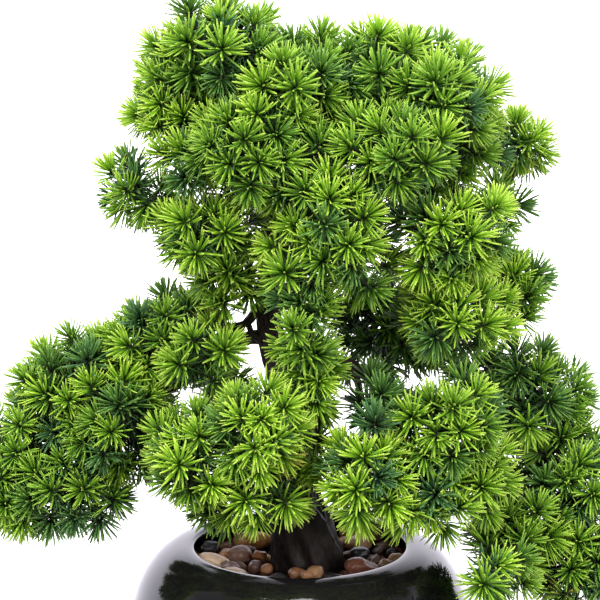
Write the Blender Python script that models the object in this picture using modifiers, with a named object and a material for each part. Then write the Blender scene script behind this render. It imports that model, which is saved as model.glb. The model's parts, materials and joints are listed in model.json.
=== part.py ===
"""Artificial tabletop pine, bonsai style: a glazed bowl, an S-shaped trunk held on a steel rod
in a foam core, wire-cored limbs that bend at their roots, and a foliage spray on every twig.

Row frame: origin at the centre of the underside of the felt base pad, X to the right,
+Y to the back, +Z up.  Lengths in the tables are millimetres; MM turns them into metres."""

import math

import bmesh
import bpy
from mathutils import Matrix, Vector

MM = 0.001

# ---------------------------------------------------------------- driving dimensions (mm)
POT_HEIGHT = 108.0
POT_MOUTH_R = 67.5
POT_BELLY_R = 107.0
POT_WALL = 5.0
POT_FOOT_R = 72.0
PAD_R = 62.0
PAD_THICK = 2.0
REST_GAP = 0.3            # touching pieces keep this much air
FOAM_TOP = 79.5
ROD_R = 3.0
ROD_BOTTOM = 20.5
ROD_TOP = 158.0
BORE_CLEAR = 0.4
BED_TOP = 91.5
BED_INNER_R = 27.0
BED_OUTER_R = 87.0
TURN_STEPS = 36
POCKET = 0.6              # air between a twig and the spray pushed over it
CELL_GAP = 0.6            # between two sprays of one limb
BODY_GAP = 14.0           # between sprays of limbs that bend separately
BALL_EXTRA = 0.7          # a limb's root ball is this much fatter than the limb
SIDE_REACH = 25.0         # sprays whose flanks may meet although their centre line is clear

# ---------------------------------------------------------------- the pot's outline, mm
POT_OUTER = [(66.6, 107.2), (67.6, POT_HEIGHT), (72.0, 107.7), (80.0, 105.8), (88.0, 101.2), (94.8, 94.0),
             (100.2, 85.0), (104.2, 74.0), (106.5, 62.0), (POT_BELLY_R, 50.0), (105.0, 36.0), (99.0, 22.0),
             (90.0, 11.0), (80.0, 4.6), (POT_FOOT_R, PAD_THICK + REST_GAP)]
POT_INNER = [(70.0, 7.6), (84.0, 14.0), (93.0, 25.0), (99.5, 38.0), (101.8, 50.0), (101.2, 62.0), (99.0, 73.0),
             (95.4, 83.0), (90.4, 91.0), (84.6, 97.2), (77.5, 101.4), (70.5, 103.2), (66.4, 104.6)]

# ---------------------------------------------------------------- trunk: centre line and radius, mm
TRUNK = [((4, 0, 80), 19.5), ((4, 0, 90), 20.8), ((3, 0, 99), 21.6), ((0, 0, 116), 19.8), ((-4, 0, 132), 17.2),
         ((-4, 0, 148), 14.6), ((-2, 0, 162), 12.4), ((0, 0, 176), 11.0), ((-4, 0, 193), 10.0),
         ((-10, 0, 212), 9.2), ((-16, 0, 232), 8.4), ((-19, 0, 252), 7.7), ((-19, 0, 272), 7.1),
         ((-17, 0, 291), 6.7), ((-13, 0, 309), 6.4), ((-7, 0, 329), 6.0), ((0, 0, 347), 5.5),
         ((7, -1, 365), 4.8), ((11, -4, 382), 3.8), ((9, -7, 397), 2.8)]

# ---------------------------------------------------------------- limbs
# name: (body, branch collar start on the trunk, [(spine point, radius)...], [[(twig point, radius)...], ...])
# The first spine point is the bend, where the wire leaves the collar.
LIMBS = {
    "limb_lower_left": ("lower_left", (-17, 0, 240),
        [((-33, 1, 239), 4.4), ((-48, -2, 231), 4.0), ((-68, -4, 217), 3.7), ((-92, -6, 201), 3.3),
         ((-118, -6, 186), 2.9), ((-145, -3, 173), 2.4), ((-172, 0, 166), 1.9)],
        [[((-40, 0, 236), 2.6), ((-50, -2, 247), 2.3), ((-64, -1, 251), 2.0), ((-84, 0, 243), 1.6)],
         [((-46, -2, 232), 2.0), ((-51, -22, 236), 1.6)],
         [((-88, -6, 203), 2.0), ((-100, -15, 196), 1.6)],
         [((-118, -6, 186), 2.0), ((-144, 2, 201), 1.6)],
         [((-116, -6, 187), 2.0), ((-129, -10, 160), 1.6)],
         [((-86, -6, 205), 2.2), ((-104, 30, 194), 1.9), ((-118, 58, 188), 1.6)]]),
    "limb_lower_right": ("lower_right", (-11, 0, 213),
        [((7, 3, 220), 4.6), ((25, 4, 224), 4.2), ((34, 7, 219), 4.0), ((52, 10, 208), 3.7), ((88, 14, 192), 3.2),
         ((124, 20, 180), 2.9), ((150, 22, 165), 2.5), ((170, 19, 142), 2.2), ((175, 15, 102), 1.8)],
        [[((29, 5, 222), 2.6), ((37, 3, 206), 2.2), ((35, 1, 186), 1.6)],
         [((122, 20, 181), 2.1), ((147, 30, 194), 1.6)],
         [((156, 21, 158), 2.1), ((142, 10, 130), 1.8), ((133, 3, 117), 1.6)]]),
    "limb_mid_left": ("mid_left", (-17, 0, 291),
        [((-31, 0, 295), 3.4), ((-44, -1, 301), 3.0), ((-68, -1, 311), 2.6), ((-92, -4, 325), 2.0)],
        [[((-46, -1, 302), 1.9), ((-55, -28, 308), 1.6)],
         [((-54, -1, 305), 1.9), ((-63, 36, 301), 1.6)]]),
    "limb_mid_right": ("mid_right", (-11, 0, 317),
        [((3, -2, 317), 3.7), ((24, -5, 309), 3.3), ((60, -10, 291), 2.9), ((90, -6, 276), 2.6),
         ((116, 8, 272), 2.3), ((134, 20, 273), 1.8)],
        [[((58, -10, 292), 2.0), ((84, -36, 307), 1.6)],
         [((84, -7, 279), 2.0), ((90, -20, 261), 1.6)],
         [((94, -4, 275), 2.1), ((118, 32, 304), 1.8), ((130, 52, 325), 1.6)]]),
    "limb_front_left": ("front_left", (-3, 0, 190),
        [((-9, -19, 191), 3.8), ((-20, -33, 192), 3.3), ((-38, -48, 188), 2.8), ((-62, -58, 181), 2.0)],
        [[((-23, -36, 191), 2.1), ((-26, -66, 199), 1.6)],
         [((-16, -28, 192), 2.1), ((-20, -50, 164), 1.6)],
         [((-30, -42, 190), 2.1), ((-44, -36, 166), 1.8), ((-53, -32, 147), 1.6)]]),
    "limb_front_right": ("front_right", (0, 0, 177),
        [((14, -15, 178), 3.8), ((28, -33, 178), 3.3), ((50, -47, 180), 2.8), ((82, -56, 193), 2.0)],
        [[((32, -36, 178), 2.1), ((38, -72, 180), 1.6)],
         [((42, -42, 179), 2.1), ((54, -39, 201), 1.6)],
         [((56, -49, 182), 2.1), ((75, -57, 162), 1.6)]]),
    "limb_back": ("back", (-19, 0, 262),
        [((-17, 14, 265), 3.8), ((-12, 34, 273), 3.3), ((0, 58, 285), 2.7), ((13, 78, 297), 2.0)],
        [[((-11, 36, 274), 2.2), ((18, 48, 254), 1.9), ((54, 62, 236), 1.6)],
         [((-14, 28, 271), 2.2), ((-36, 50, 236), 1.9), ((-54, 70, 192), 1.6)]]),
    "limb_crown_left": ("root", (-8, 0, 326),
        [((-19, -1, 333), 3.4), ((-34, -2, 346), 3.0), ((-52, -2, 365), 2.6), ((-69, 0, 382), 2.0)],
        [[((-42, -2, 354), 2.0), ((-46, -4, 404), 1.6)],
         [((-28, -2, 341), 2.0), ((-30, -44, 362), 1.6)],
         [((-36, -2, 348), 2.0), ((-45, 60, 377), 1.6)]]),
    "limb_crown_right": ("root", (4, -1, 357),
        [((15, -1, 357), 3.2), ((36, -2, 362), 2.8), ((62, 0, 368), 2.4), ((88, 4, 373), 1.8)],
        [[((40, -2, 363), 1.9), ((52, 0, 392), 1.6)],
         [((30, -2, 361), 1.9), ((54, -46, 358), 1.6)],
         [((46, -1, 364), 1.9), ((54, 62, 376), 1.6)]]),
    "limb_centre": ("root", (-16, 0, 298),
        [((-12, -12, 299), 3.0), ((0, -30, 303), 2.6), ((17, -56, 311), 1.9)],
        [[((-6, -21, 301), 2.0), ((-1, -40, 280), 1.8), ((3, -57, 259), 1.6)]]),
}
BEND_AXIS = {"lower_left": "Y", "lower_right": "Y", "mid_left": "Y", "mid_right": "Y",
             "front_left": "X", "front_right": "X", "back": "X"}

# ---------------------------------------------------------------- foliage sprays: body, centre, half sizes, mm
SPRAYS = {
    "crown_left": ("root", (-72, 0, 386), (32, 40, 47)),
    "crown_top_left": ("root", (-46, -5, 417), (38, 44, 33)),
    "crown_top_mid": ("root", (7, -8, 399), (34, 42, 34)),
    "crown_top_right": ("root", (53, 0, 400), (38, 44, 33)),
    "crown_right": ("root", (95, 5, 374), (29, 42, 42)),
    "crown_front_right": ("root", (57, -55, 358), (38, 30, 32)),
    "crown_front_left": ("root", (-29, -52, 366), (38, 30, 34)),
    "crown_back_left": ("root", (-46, 68, 380), (52, 36, 42)),
    "crown_back_right": ("root", (55, 70, 378), (52, 36, 42)),
    "centre_upper": ("root", (20, -64, 313), (32, 26, 33)),
    "centre_lower": ("root", (3, -60, 254), (19, 20, 36)),
    "mid_left_tip": ("mid_left", (-96, -5, 330), (26, 34, 25)),
    "mid_left_front": ("mid_left", (-56, -34, 309), (32, 30, 28)),
    "mid_left_back": ("mid_left", (-64, 42, 300), (34, 34, 28)),
    "mid_right_upper": ("mid_right", (87, -42, 312), (38, 34, 36)),
    "mid_right_lower": ("mid_right", (91, -26, 256), (38, 38, 34)),
    "mid_right_back": ("mid_right", (132, 58, 330), (32, 34, 34)),
    "mid_right_tip": ("mid_right", (137, 22, 274), (25, 34, 28)),
    "left_inner": ("lower_left", (-54, -28, 236), (28, 32, 33)),
    "left_upper": ("lower_left", (-88, 0, 242), (34, 40, 30)),
    "left_middle": ("lower_left", (-108, -20, 194), (34, 38, 36)),
    "left_outer": ("lower_left", (-147, 4, 204), (34, 40, 32)),
    "left_tip": ("lower_left", (-178, 0, 164), (34, 38, 38)),
    "left_low": ("lower_left", (-131, -12, 152), (36, 36, 28)),
    "left_back": ("lower_left", (-122, 66, 186), (48, 36, 36)),
    "front_left": ("front_left", (-66, -60, 180), (32, 34, 36)),
    "front_centre": ("front_left", (-26, -72, 200), (32, 30, 34)),
    "front_low": ("front_left", (-20, -54, 160), (32, 30, 22)),
    "front_under": ("front_left", (-54, -32, 142), (24, 26, 22)),
    "right_front": ("front_right", (38, -78, 180), (28, 28, 34)),
    "right_dark": ("front_right", (55, -38, 207), (28, 26, 26)),
    "right_middle": ("front_right", (87, -58, 200), (34, 34, 32)),
    "right_low": ("front_right", (77, -58, 156), (36, 32, 28)),
    "cascade_top": ("lower_right", (150, 32, 193), (40, 42, 33)),
    "cascade_mid": ("lower_right", (172, 20, 148), (36, 42, 36)),
    "cascade_low": ("lower_right", (134, 0, 116), (32, 36, 32)),
    "cascade_tip": ("lower_right", (176, 14, 92), (36, 38, 36)),
    "back_upper": ("back", (14, 82, 300), (52, 32, 36)),
    "back_middle": ("back", (62, 66, 232), (50, 34, 36)),
    "back_lower": ("back", (-56, 76, 186), (28, 32, 30)),
}

# ---------------------------------------------------------------- loose stones on the bed: place, half sizes, turn
PEBBLES = {
    "pebble_front_right": ((40, -27), (11.5, 8.0, 5.2), 20),
    "pebble_front_left": ((-38, -34), (10.5, 7.0, 4.6), -35),
    "pebble_back_left": ((-32, 38), (12.0, 7.5, 5.0), 15),
    "pebble_back_right": ((38, 34), (9.5, 8.0, 5.4), 60),
}

COLOURS = {
    "glaze": ((0.012, 0.012, 0.014, 1), 0.06, 0.0),
    "bark": ((0.060, 0.040, 0.038, 1), 0.55, 0.0),
    "foot": ((0.022, 0.019, 0.019, 1), 0.35, 0.0),
    "needles": ((0.150, 0.380, 0.060, 1), 0.45, 0.0),
    "needles_dark": ((0.040, 0.170, 0.070, 1), 0.45, 0.0),
    "foam": ((0.180, 0.200, 0.150, 1), 0.90, 0.0),
    "steel": ((0.550, 0.560, 0.580, 1), 0.35, 1.0),
    "stone": ((0.300, 0.210, 0.150, 1), 0.40, 0.0),
    "felt": ((0.030, 0.030, 0.032, 1), 0.95, 0.0),
}


# ---------------------------------------------------------------- scene
for old in list(bpy.data.objects):
    bpy.data.objects.remove(old, do_unlink=True)

PARTS = bpy.data.collections.new("artificial_tabletop_tree")
CUTTERS = bpy.data.collections.new("cutters")
bpy.context.scene.collection.children.link(PARTS)
bpy.context.scene.collection.children.link(CUTTERS)
CUTTERS.hide_render = True


def material(name):
    found = bpy.data.materials.get(name)
    if found:
        return found
    colour, rough, metal = COLOURS[name]
    made = bpy.data.materials.new(name)
    made.use_nodes = True
    shader = made.node_tree.nodes["Principled BSDF"]
    shader.inputs["Base Color"].default_value = colour
    shader.inputs["Roughness"].default_value = rough
    shader.inputs["Metallic"].default_value = metal
    made.diffuse_color = colour
    return made


MATERIALS = {name: material(name) for name in COLOURS}


def place(name, mesh, slot, smooth=True, collection=PARTS):
    obj = bpy.data.objects.new(name, mesh)
    collection.objects.link(obj)
    mesh.materials.clear()
    mesh.materials.append(MATERIALS[slot])
    if smooth:
        mesh.shade_smooth()
        mesh.set_sharp_from_angle(angle=math.radians(35))
    return obj


def evaluated_mesh(obj):
    graph = bpy.context.evaluated_depsgraph_get()
    graph.update()
    return bpy.data.meshes.new_from_object(obj.evaluated_get(graph))


def drop(obj):
    data = obj.data
    bpy.data.objects.remove(obj, do_unlink=True)
    if isinstance(data, bpy.types.Mesh):
        bpy.data.meshes.remove(data)
    elif isinstance(data, bpy.types.Curve):
        bpy.data.curves.remove(data)


# ---------------------------------------------------------------- turned shapes
def turned(name, profile, slot, steps=TURN_STEPS, closed=False):
    """A profile in the XZ plane, screwed once round Z.  It runs down its outer side."""
    mesh = bpy.data.meshes.new(name)
    shape = bmesh.new()
    points = [shape.verts.new((x * MM, 0.0, z * MM)) for x, z in profile]
    for a, b in zip(points, points[1:]):
        shape.edges.new((a, b))
    if closed:
        shape.edges.new((points[-1], points[0]))
    shape.to_mesh(mesh)
    shape.free()
    obj = place(name, mesh, slot, smooth=False)
    screw = obj.modifiers.new("turn", "SCREW")
    screw.axis = "Z"
    screw.angle = 2 * math.pi
    screw.steps = steps
    screw.render_steps = steps
    screw.use_merge_vertices = True
    screw.merge_threshold = 0.00001
    screw.use_smooth_shade = True
    return obj


def cylinder(name, radius, low, high, slot, sides=24, collection=PARTS):
    mesh = bpy.data.meshes.new(name)
    shape = bmesh.new()
    bmesh.ops.create_cone(shape, cap_ends=True, cap_tris=False, segments=sides, radius1=radius * MM,
                          radius2=radius * MM, depth=(high - low) * MM)
    shape.to_mesh(mesh)
    shape.free()
    obj = place(name, mesh, slot, collection=collection)
    obj.location = (0.0, 0.0, 0.5 * (low + high) * MM)
    return obj


# ---------------------------------------------------------------- tubes and their unions
def tube(name, path, resolution, slot):
    """A tapered round tube along straight spans: path is [(point, radius)...] in mm."""
    curve = bpy.data.curves.new(name, "CURVE")
    curve.dimensions = "3D"
    curve.bevel_depth = MM
    curve.bevel_resolution = resolution
    curve.use_fill_caps = True
    line = curve.splines.new("POLY")
    line.points.add(len(path) - 1)
    for knot, (point, radius) in zip(line.points, path):
        knot.co = (point[0] * MM, point[1] * MM, point[2] * MM, 1.0)
        knot.radius = radius
    obj = bpy.data.objects.new(name + "_curve", curve)
    CUTTERS.objects.link(obj)
    mesh = evaluated_mesh(obj)
    drop(obj)
    shape = bmesh.new()
    shape.from_mesh(mesh)
    bmesh.ops.remove_doubles(shape, verts=shape.verts, dist=0.000001)
    bmesh.ops.recalc_face_normals(shape, faces=shape.faces)
    shape.to_mesh(mesh)
    shape.free()
    mesh.name = name
    return place(name, mesh, slot, collection=CUTTERS)


def ball(name, centre, radius, slot):
    mesh = bpy.data.meshes.new(name)
    shape = bmesh.new()
    bmesh.ops.create_icosphere(shape, subdivisions=2, radius=radius * MM,
                               matrix=Matrix.Translation(Vector(centre) * MM))
    shape.to_mesh(mesh)
    shape.free()
    return place(name, mesh, slot, collection=CUTTERS)


def combine(name, first, others, operation, slot, collection):
    """Boolean the others into the first, and keep the result as one plain mesh."""
    for other in others:
        step = first.modifiers.new(other.name, "BOOLEAN")
        step.operation = operation
        step.object = other
    mesh = evaluated_mesh(first)
    for other in others:
        drop(other)
    drop(first)
    mesh.name = name
    return place(name, mesh, slot, collection=collection)


def longer(path, extra, both=False):
    """The same path with its free end pushed out by extra mm."""
    path = [(Vector(p), r) for p, r in path]
    end = (path[-1][0] - path[-2][0]).normalized()
    path[-1] = (path[-1][0] + end * extra, path[-1][1])
    if both:
        start = (path[0][0] - path[1][0]).normalized()
        path[0] = (path[0][0] + start * extra, path[0][1])
    return path


def fatter(path, extra):
    return [(p, r + extra) for p, r in path]


def limb(name, slot, grow=0.0, collection=PARTS):
    body, collar, spine, twigs = LIMBS[name]
    first = tube(name + "_spine", longer(fatter(spine, grow), grow), 2, slot)
    extras = [ball(name + "_ball", spine[0][0], spine[0][1] + BALL_EXTRA + grow, slot)]
    for number, twig in enumerate(twigs):
        extras.append(tube(f"{name}_twig{number}", longer(fatter(twig, grow), grow), 1, slot))
    return combine(name if not grow else name + "_clearance", first, extras, "UNION", slot, collection)


def collar_tube(name, slot, grow=0.0):
    """The short stub on the trunk that a limb leaves from: it stops just short of the root ball."""
    body, start, spine, twigs = LIMBS[name]
    bend, radius = Vector(spine[0][0]), spine[0][1]
    along = (bend - Vector(start)).normalized()
    end = bend - along * (radius + BALL_EXTRA + 0.6 - grow)
    return tube(name + "_collar", [(Vector(start), radius + 2.0 + grow), (end, radius + 0.6 + grow)], 2, slot)


def trunk(name, grow=0.0, collection=PARTS):
    first = tube(name + "_stem", longer(fatter(TRUNK, grow), grow), 4, "bark")
    collars = [collar_tube(limb_name, "bark", grow) for limb_name in LIMBS]
    return combine(name, first, collars, "UNION", "bark", collection)


# ---------------------------------------------------------------- foliage sprays
def reach(half, direction):
    return 1.0 / math.sqrt(sum((d / h) ** 2 for d, h in zip(direction, half)))


def parting_planes(name):
    """Planes that part a spray from each neighbour it would run into."""
    body, centre, half = SPRAYS[name]
    centre = Vector(centre)
    for other, (other_body, other_centre, other_half) in SPRAYS.items():
        if other == name:
            continue
        gap = CELL_GAP if other_body == body else BODY_GAP
        away = Vector(other_centre) - centre
        apart = away.length
        away.normalize()
        mine, theirs = reach(half, away), reach(other_half, away)
        if mine + theirs + gap + SIDE_REACH > apart:
            yield centre + away * (apart * mine / (mine + theirs) - gap / 2), away


def spray(name):
    """A closed lump, the outer shape of one spray: an ellipsoid parted from its neighbours."""
    body, centre, half = SPRAYS[name]
    shape = bmesh.new()
    size = Matrix.Diagonal((half[0] * MM, half[1] * MM, half[2] * MM, 1.0))
    bmesh.ops.create_icosphere(shape, subdivisions=2, radius=1.0, matrix=Matrix.Translation(Vector(centre) * MM) @ size)
    for point, normal in parting_planes(name):
        bmesh.ops.bisect_plane(shape, geom=list(shape.verts) + list(shape.edges) + list(shape.faces),
                               plane_co=point * MM, plane_no=normal, clear_outer=True)
    bmesh.ops.remove_doubles(shape, verts=shape.verts, dist=0.0012)
    bmesh.ops.delete(shape, geom=list(shape.edges) + list(shape.faces), context="EDGES_FACES")
    hull = bmesh.ops.convex_hull(shape, input=list(shape.verts))
    loose = [v for v in shape.verts if not v.link_faces]
    bmesh.ops.delete(shape, geom=loose, context="VERTS")
    bmesh.ops.dissolve_limit(shape, angle_limit=math.radians(1.0), verts=shape.verts, edges=shape.edges)
    bmesh.ops.triangulate(shape, faces=shape.faces)
    bmesh.ops.recalc_face_normals(shape, faces=shape.faces)
    mesh = bpy.data.meshes.new("spray_" + name)
    shape.to_mesh(mesh)
    shape.free()
    dark = name in ("right_dark", "front_under", "left_low", "centre_lower")
    return place("spray_" + name, mesh, "needles_dark" if dark else "needles", smooth=False)


def bounds(obj):
    corners = [obj.matrix_world @ v.co for v in obj.data.vertices]
    return [min(c[i] for c in corners) for i in range(3)], [max(c[i] for c in corners) for i in range(3)]


def near(a, b):
    (al, ah), (bl, bh) = bounds(a), bounds(b)
    return all(al[i] <= bh[i] and bl[i] <= ah[i] for i in range(3))


# ---------------------------------------------------------------- the pot and what it holds
cylinder("base_pad", PAD_R, 0.0, PAD_THICK, "felt", sides=TURN_STEPS)

turned("pot", [(0.0, POT_INNER[0][1])] + POT_INNER + POT_OUTER + [(0.0, PAD_THICK + REST_GAP)], "glaze")

foam_outer = [(x - 0.7, z) for x, z in POT_INNER if POT_INNER[0][1] < z < FOAM_TOP - 3]
turned("foam_core",
       [(0.0, ROD_BOTTOM - REST_GAP), (ROD_R + BORE_CLEAR, ROD_BOTTOM - REST_GAP), (ROD_R + BORE_CLEAR, FOAM_TOP),
        (95.6, FOAM_TOP)] + foam_outer[::-1] + [(68.0, POT_INNER[0][1] + 0.5), (0.0, POT_INNER[0][1] + 0.5)],
       "foam")

turned("pebble_bed",
       [(BED_INNER_R, FOAM_TOP + 0.5), (BED_INNER_R, BED_TOP - 1.5), (BED_INNER_R + 2.0, BED_TOP),
        (BED_OUTER_R, BED_TOP), (92.6, 84.5), (94.0, FOAM_TOP + 0.5)], "stone", closed=True)

cylinder("trunk_rod", ROD_R, ROD_BOTTOM, ROD_TOP, "steel", sides=16)

for pebble_name, ((x, y), half, turn) in PEBBLES.items():
    pebble_mesh = bpy.data.meshes.new(pebble_name)
    pebble_shape = bmesh.new()
    bmesh.ops.create_icosphere(pebble_shape, subdivisions=2, radius=1.0,
                               matrix=Matrix.Diagonal((half[0] * MM, half[1] * MM, half[2] * MM, 1.0)))
    pebble_shape.to_mesh(pebble_mesh)
    pebble_shape.free()
    stone = place(pebble_name, pebble_mesh, "stone")
    stone.location = (x * MM, y * MM, (BED_TOP + REST_GAP + half[2]) * MM)
    stone.rotation_euler = (0.0, 0.0, math.radians(turn))

# ---------------------------------------------------------------- trunk, with a blind bore for the rod
trunk_obj = trunk("trunk")
bore = cylinder("rod_bore", ROD_R + BORE_CLEAR, TRUNK[0][0][2] - 5.0, ROD_TOP + 1.0, "steel", sides=16,
                collection=CUTTERS)
bpy.context.view_layer.update()
cut = trunk_obj.modifiers.new("rod_bore", "BOOLEAN")
cut.operation = "DIFFERENCE"
cut.object = bore

# ---------------------------------------------------------------- limbs, each parented at its bend
limb_objects = {limb_name: limb(limb_name, "bark") for limb_name in LIMBS}
clearances = [limb(limb_name, "bark", grow=POCKET, collection=CUTTERS) for limb_name in LIMBS]
clearances.append(trunk("trunk_clearance", grow=POCKET, collection=CUTTERS))

pivots = {}
for limb_name, (body_name, collar_start, limb_spine, limb_twigs) in LIMBS.items():
    if body_name == "root":
        continue
    pivot = bpy.data.objects.new("bend_" + body_name, None)
    pivot.empty_display_size = 0.01
    pivot.location = Vector(limb_spine[0][0]) * MM
    PARTS.objects.link(pivot)
    pivots[body_name] = pivot
bpy.context.view_layer.update()

# ---------------------------------------------------------------- sprays, pushed over the twigs
for spray_name, (body_name, spray_centre, spray_half) in SPRAYS.items():
    spray_obj = spray(spray_name)
    for clearance in clearances:
        if near(spray_obj, clearance):
            pocket = spray_obj.modifiers.new(clearance.name, "BOOLEAN")
            pocket.operation = "DIFFERENCE"
            pocket.object = clearance
    if body_name != "root":
        spray_obj.parent = pivots[body_name]
        spray_obj.matrix_parent_inverse = pivots[body_name].matrix_world.inverted()
for limb_name, limb_obj in limb_objects.items():
    body_name = LIMBS[limb_name][0]
    if body_name != "root":
        limb_obj.parent = pivots[body_name]
        limb_obj.matrix_parent_inverse = pivots[body_name].matrix_world.inverted()

for cutter in CUTTERS.objects:
    cutter.hide_render = True
    cutter.display_type = "WIRE"
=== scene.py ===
"""Looks of the artificial tabletop pine: needle tufts, bark, stones, glaze.  Metres, +Z up."""

import json
import math

import bpy
import numpy as np
from mathutils import Matrix, Vector, noise


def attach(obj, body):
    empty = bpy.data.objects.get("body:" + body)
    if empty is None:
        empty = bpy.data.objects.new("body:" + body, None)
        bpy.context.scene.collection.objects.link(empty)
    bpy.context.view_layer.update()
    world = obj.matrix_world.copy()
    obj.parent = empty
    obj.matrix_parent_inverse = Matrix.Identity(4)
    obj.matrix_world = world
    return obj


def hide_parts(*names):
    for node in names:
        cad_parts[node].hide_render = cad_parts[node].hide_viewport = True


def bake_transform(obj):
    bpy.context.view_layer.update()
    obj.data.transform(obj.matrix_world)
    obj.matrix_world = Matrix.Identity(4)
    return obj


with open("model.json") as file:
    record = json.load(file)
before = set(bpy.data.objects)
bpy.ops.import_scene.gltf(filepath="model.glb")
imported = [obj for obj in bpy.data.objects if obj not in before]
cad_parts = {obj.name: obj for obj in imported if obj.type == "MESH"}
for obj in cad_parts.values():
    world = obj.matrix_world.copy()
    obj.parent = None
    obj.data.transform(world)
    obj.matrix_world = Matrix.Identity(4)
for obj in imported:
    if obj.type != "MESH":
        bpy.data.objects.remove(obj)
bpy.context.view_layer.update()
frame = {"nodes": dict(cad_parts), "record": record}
MM = 0.001
SCENE = bpy.context.scene
ROOT_COLLECTION = SCENE.collection

# ------------------------------------------------------------------ camera
camera_data = bpy.data.cameras.new("camera")
camera_data.lens = 130.0
camera_data.sensor_width = 36.0
camera_data.clip_end = 100.0
camera = bpy.data.objects.new("camera", camera_data)
ROOT_COLLECTION.objects.link(camera)
camera.location = (0.0, -1.30, 0.523)
camera.rotation_euler = (math.radians(90.0 - 11.3), 0.0, 0.0)
SCENE.camera = camera
SCENE.view_settings.view_transform = "Standard"

# ------------------------------------------------------------------ the design's tables, as in the CAD (mm)
TRUNK = [((4, 0, 80), 19.5), ((4, 0, 90), 20.8), ((3, 0, 99), 21.6), ((0, 0, 116), 19.8), ((-4, 0, 132), 17.2),
         ((-4, 0, 148), 14.6), ((-2, 0, 162), 12.4), ((0, 0, 176), 11.0), ((-4, 0, 193), 10.0),
         ((-10, 0, 212), 9.2), ((-16, 0, 232), 8.4), ((-19, 0, 252), 7.7), ((-19, 0, 272), 7.1),
         ((-17, 0, 291), 6.7), ((-13, 0, 309), 6.4), ((-7, 0, 329), 6.0), ((0, 0, 347), 5.5),
         ((7, -1, 365), 4.8), ((11, -4, 382), 3.8), ((9, -7, 397), 2.8)]

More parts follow.
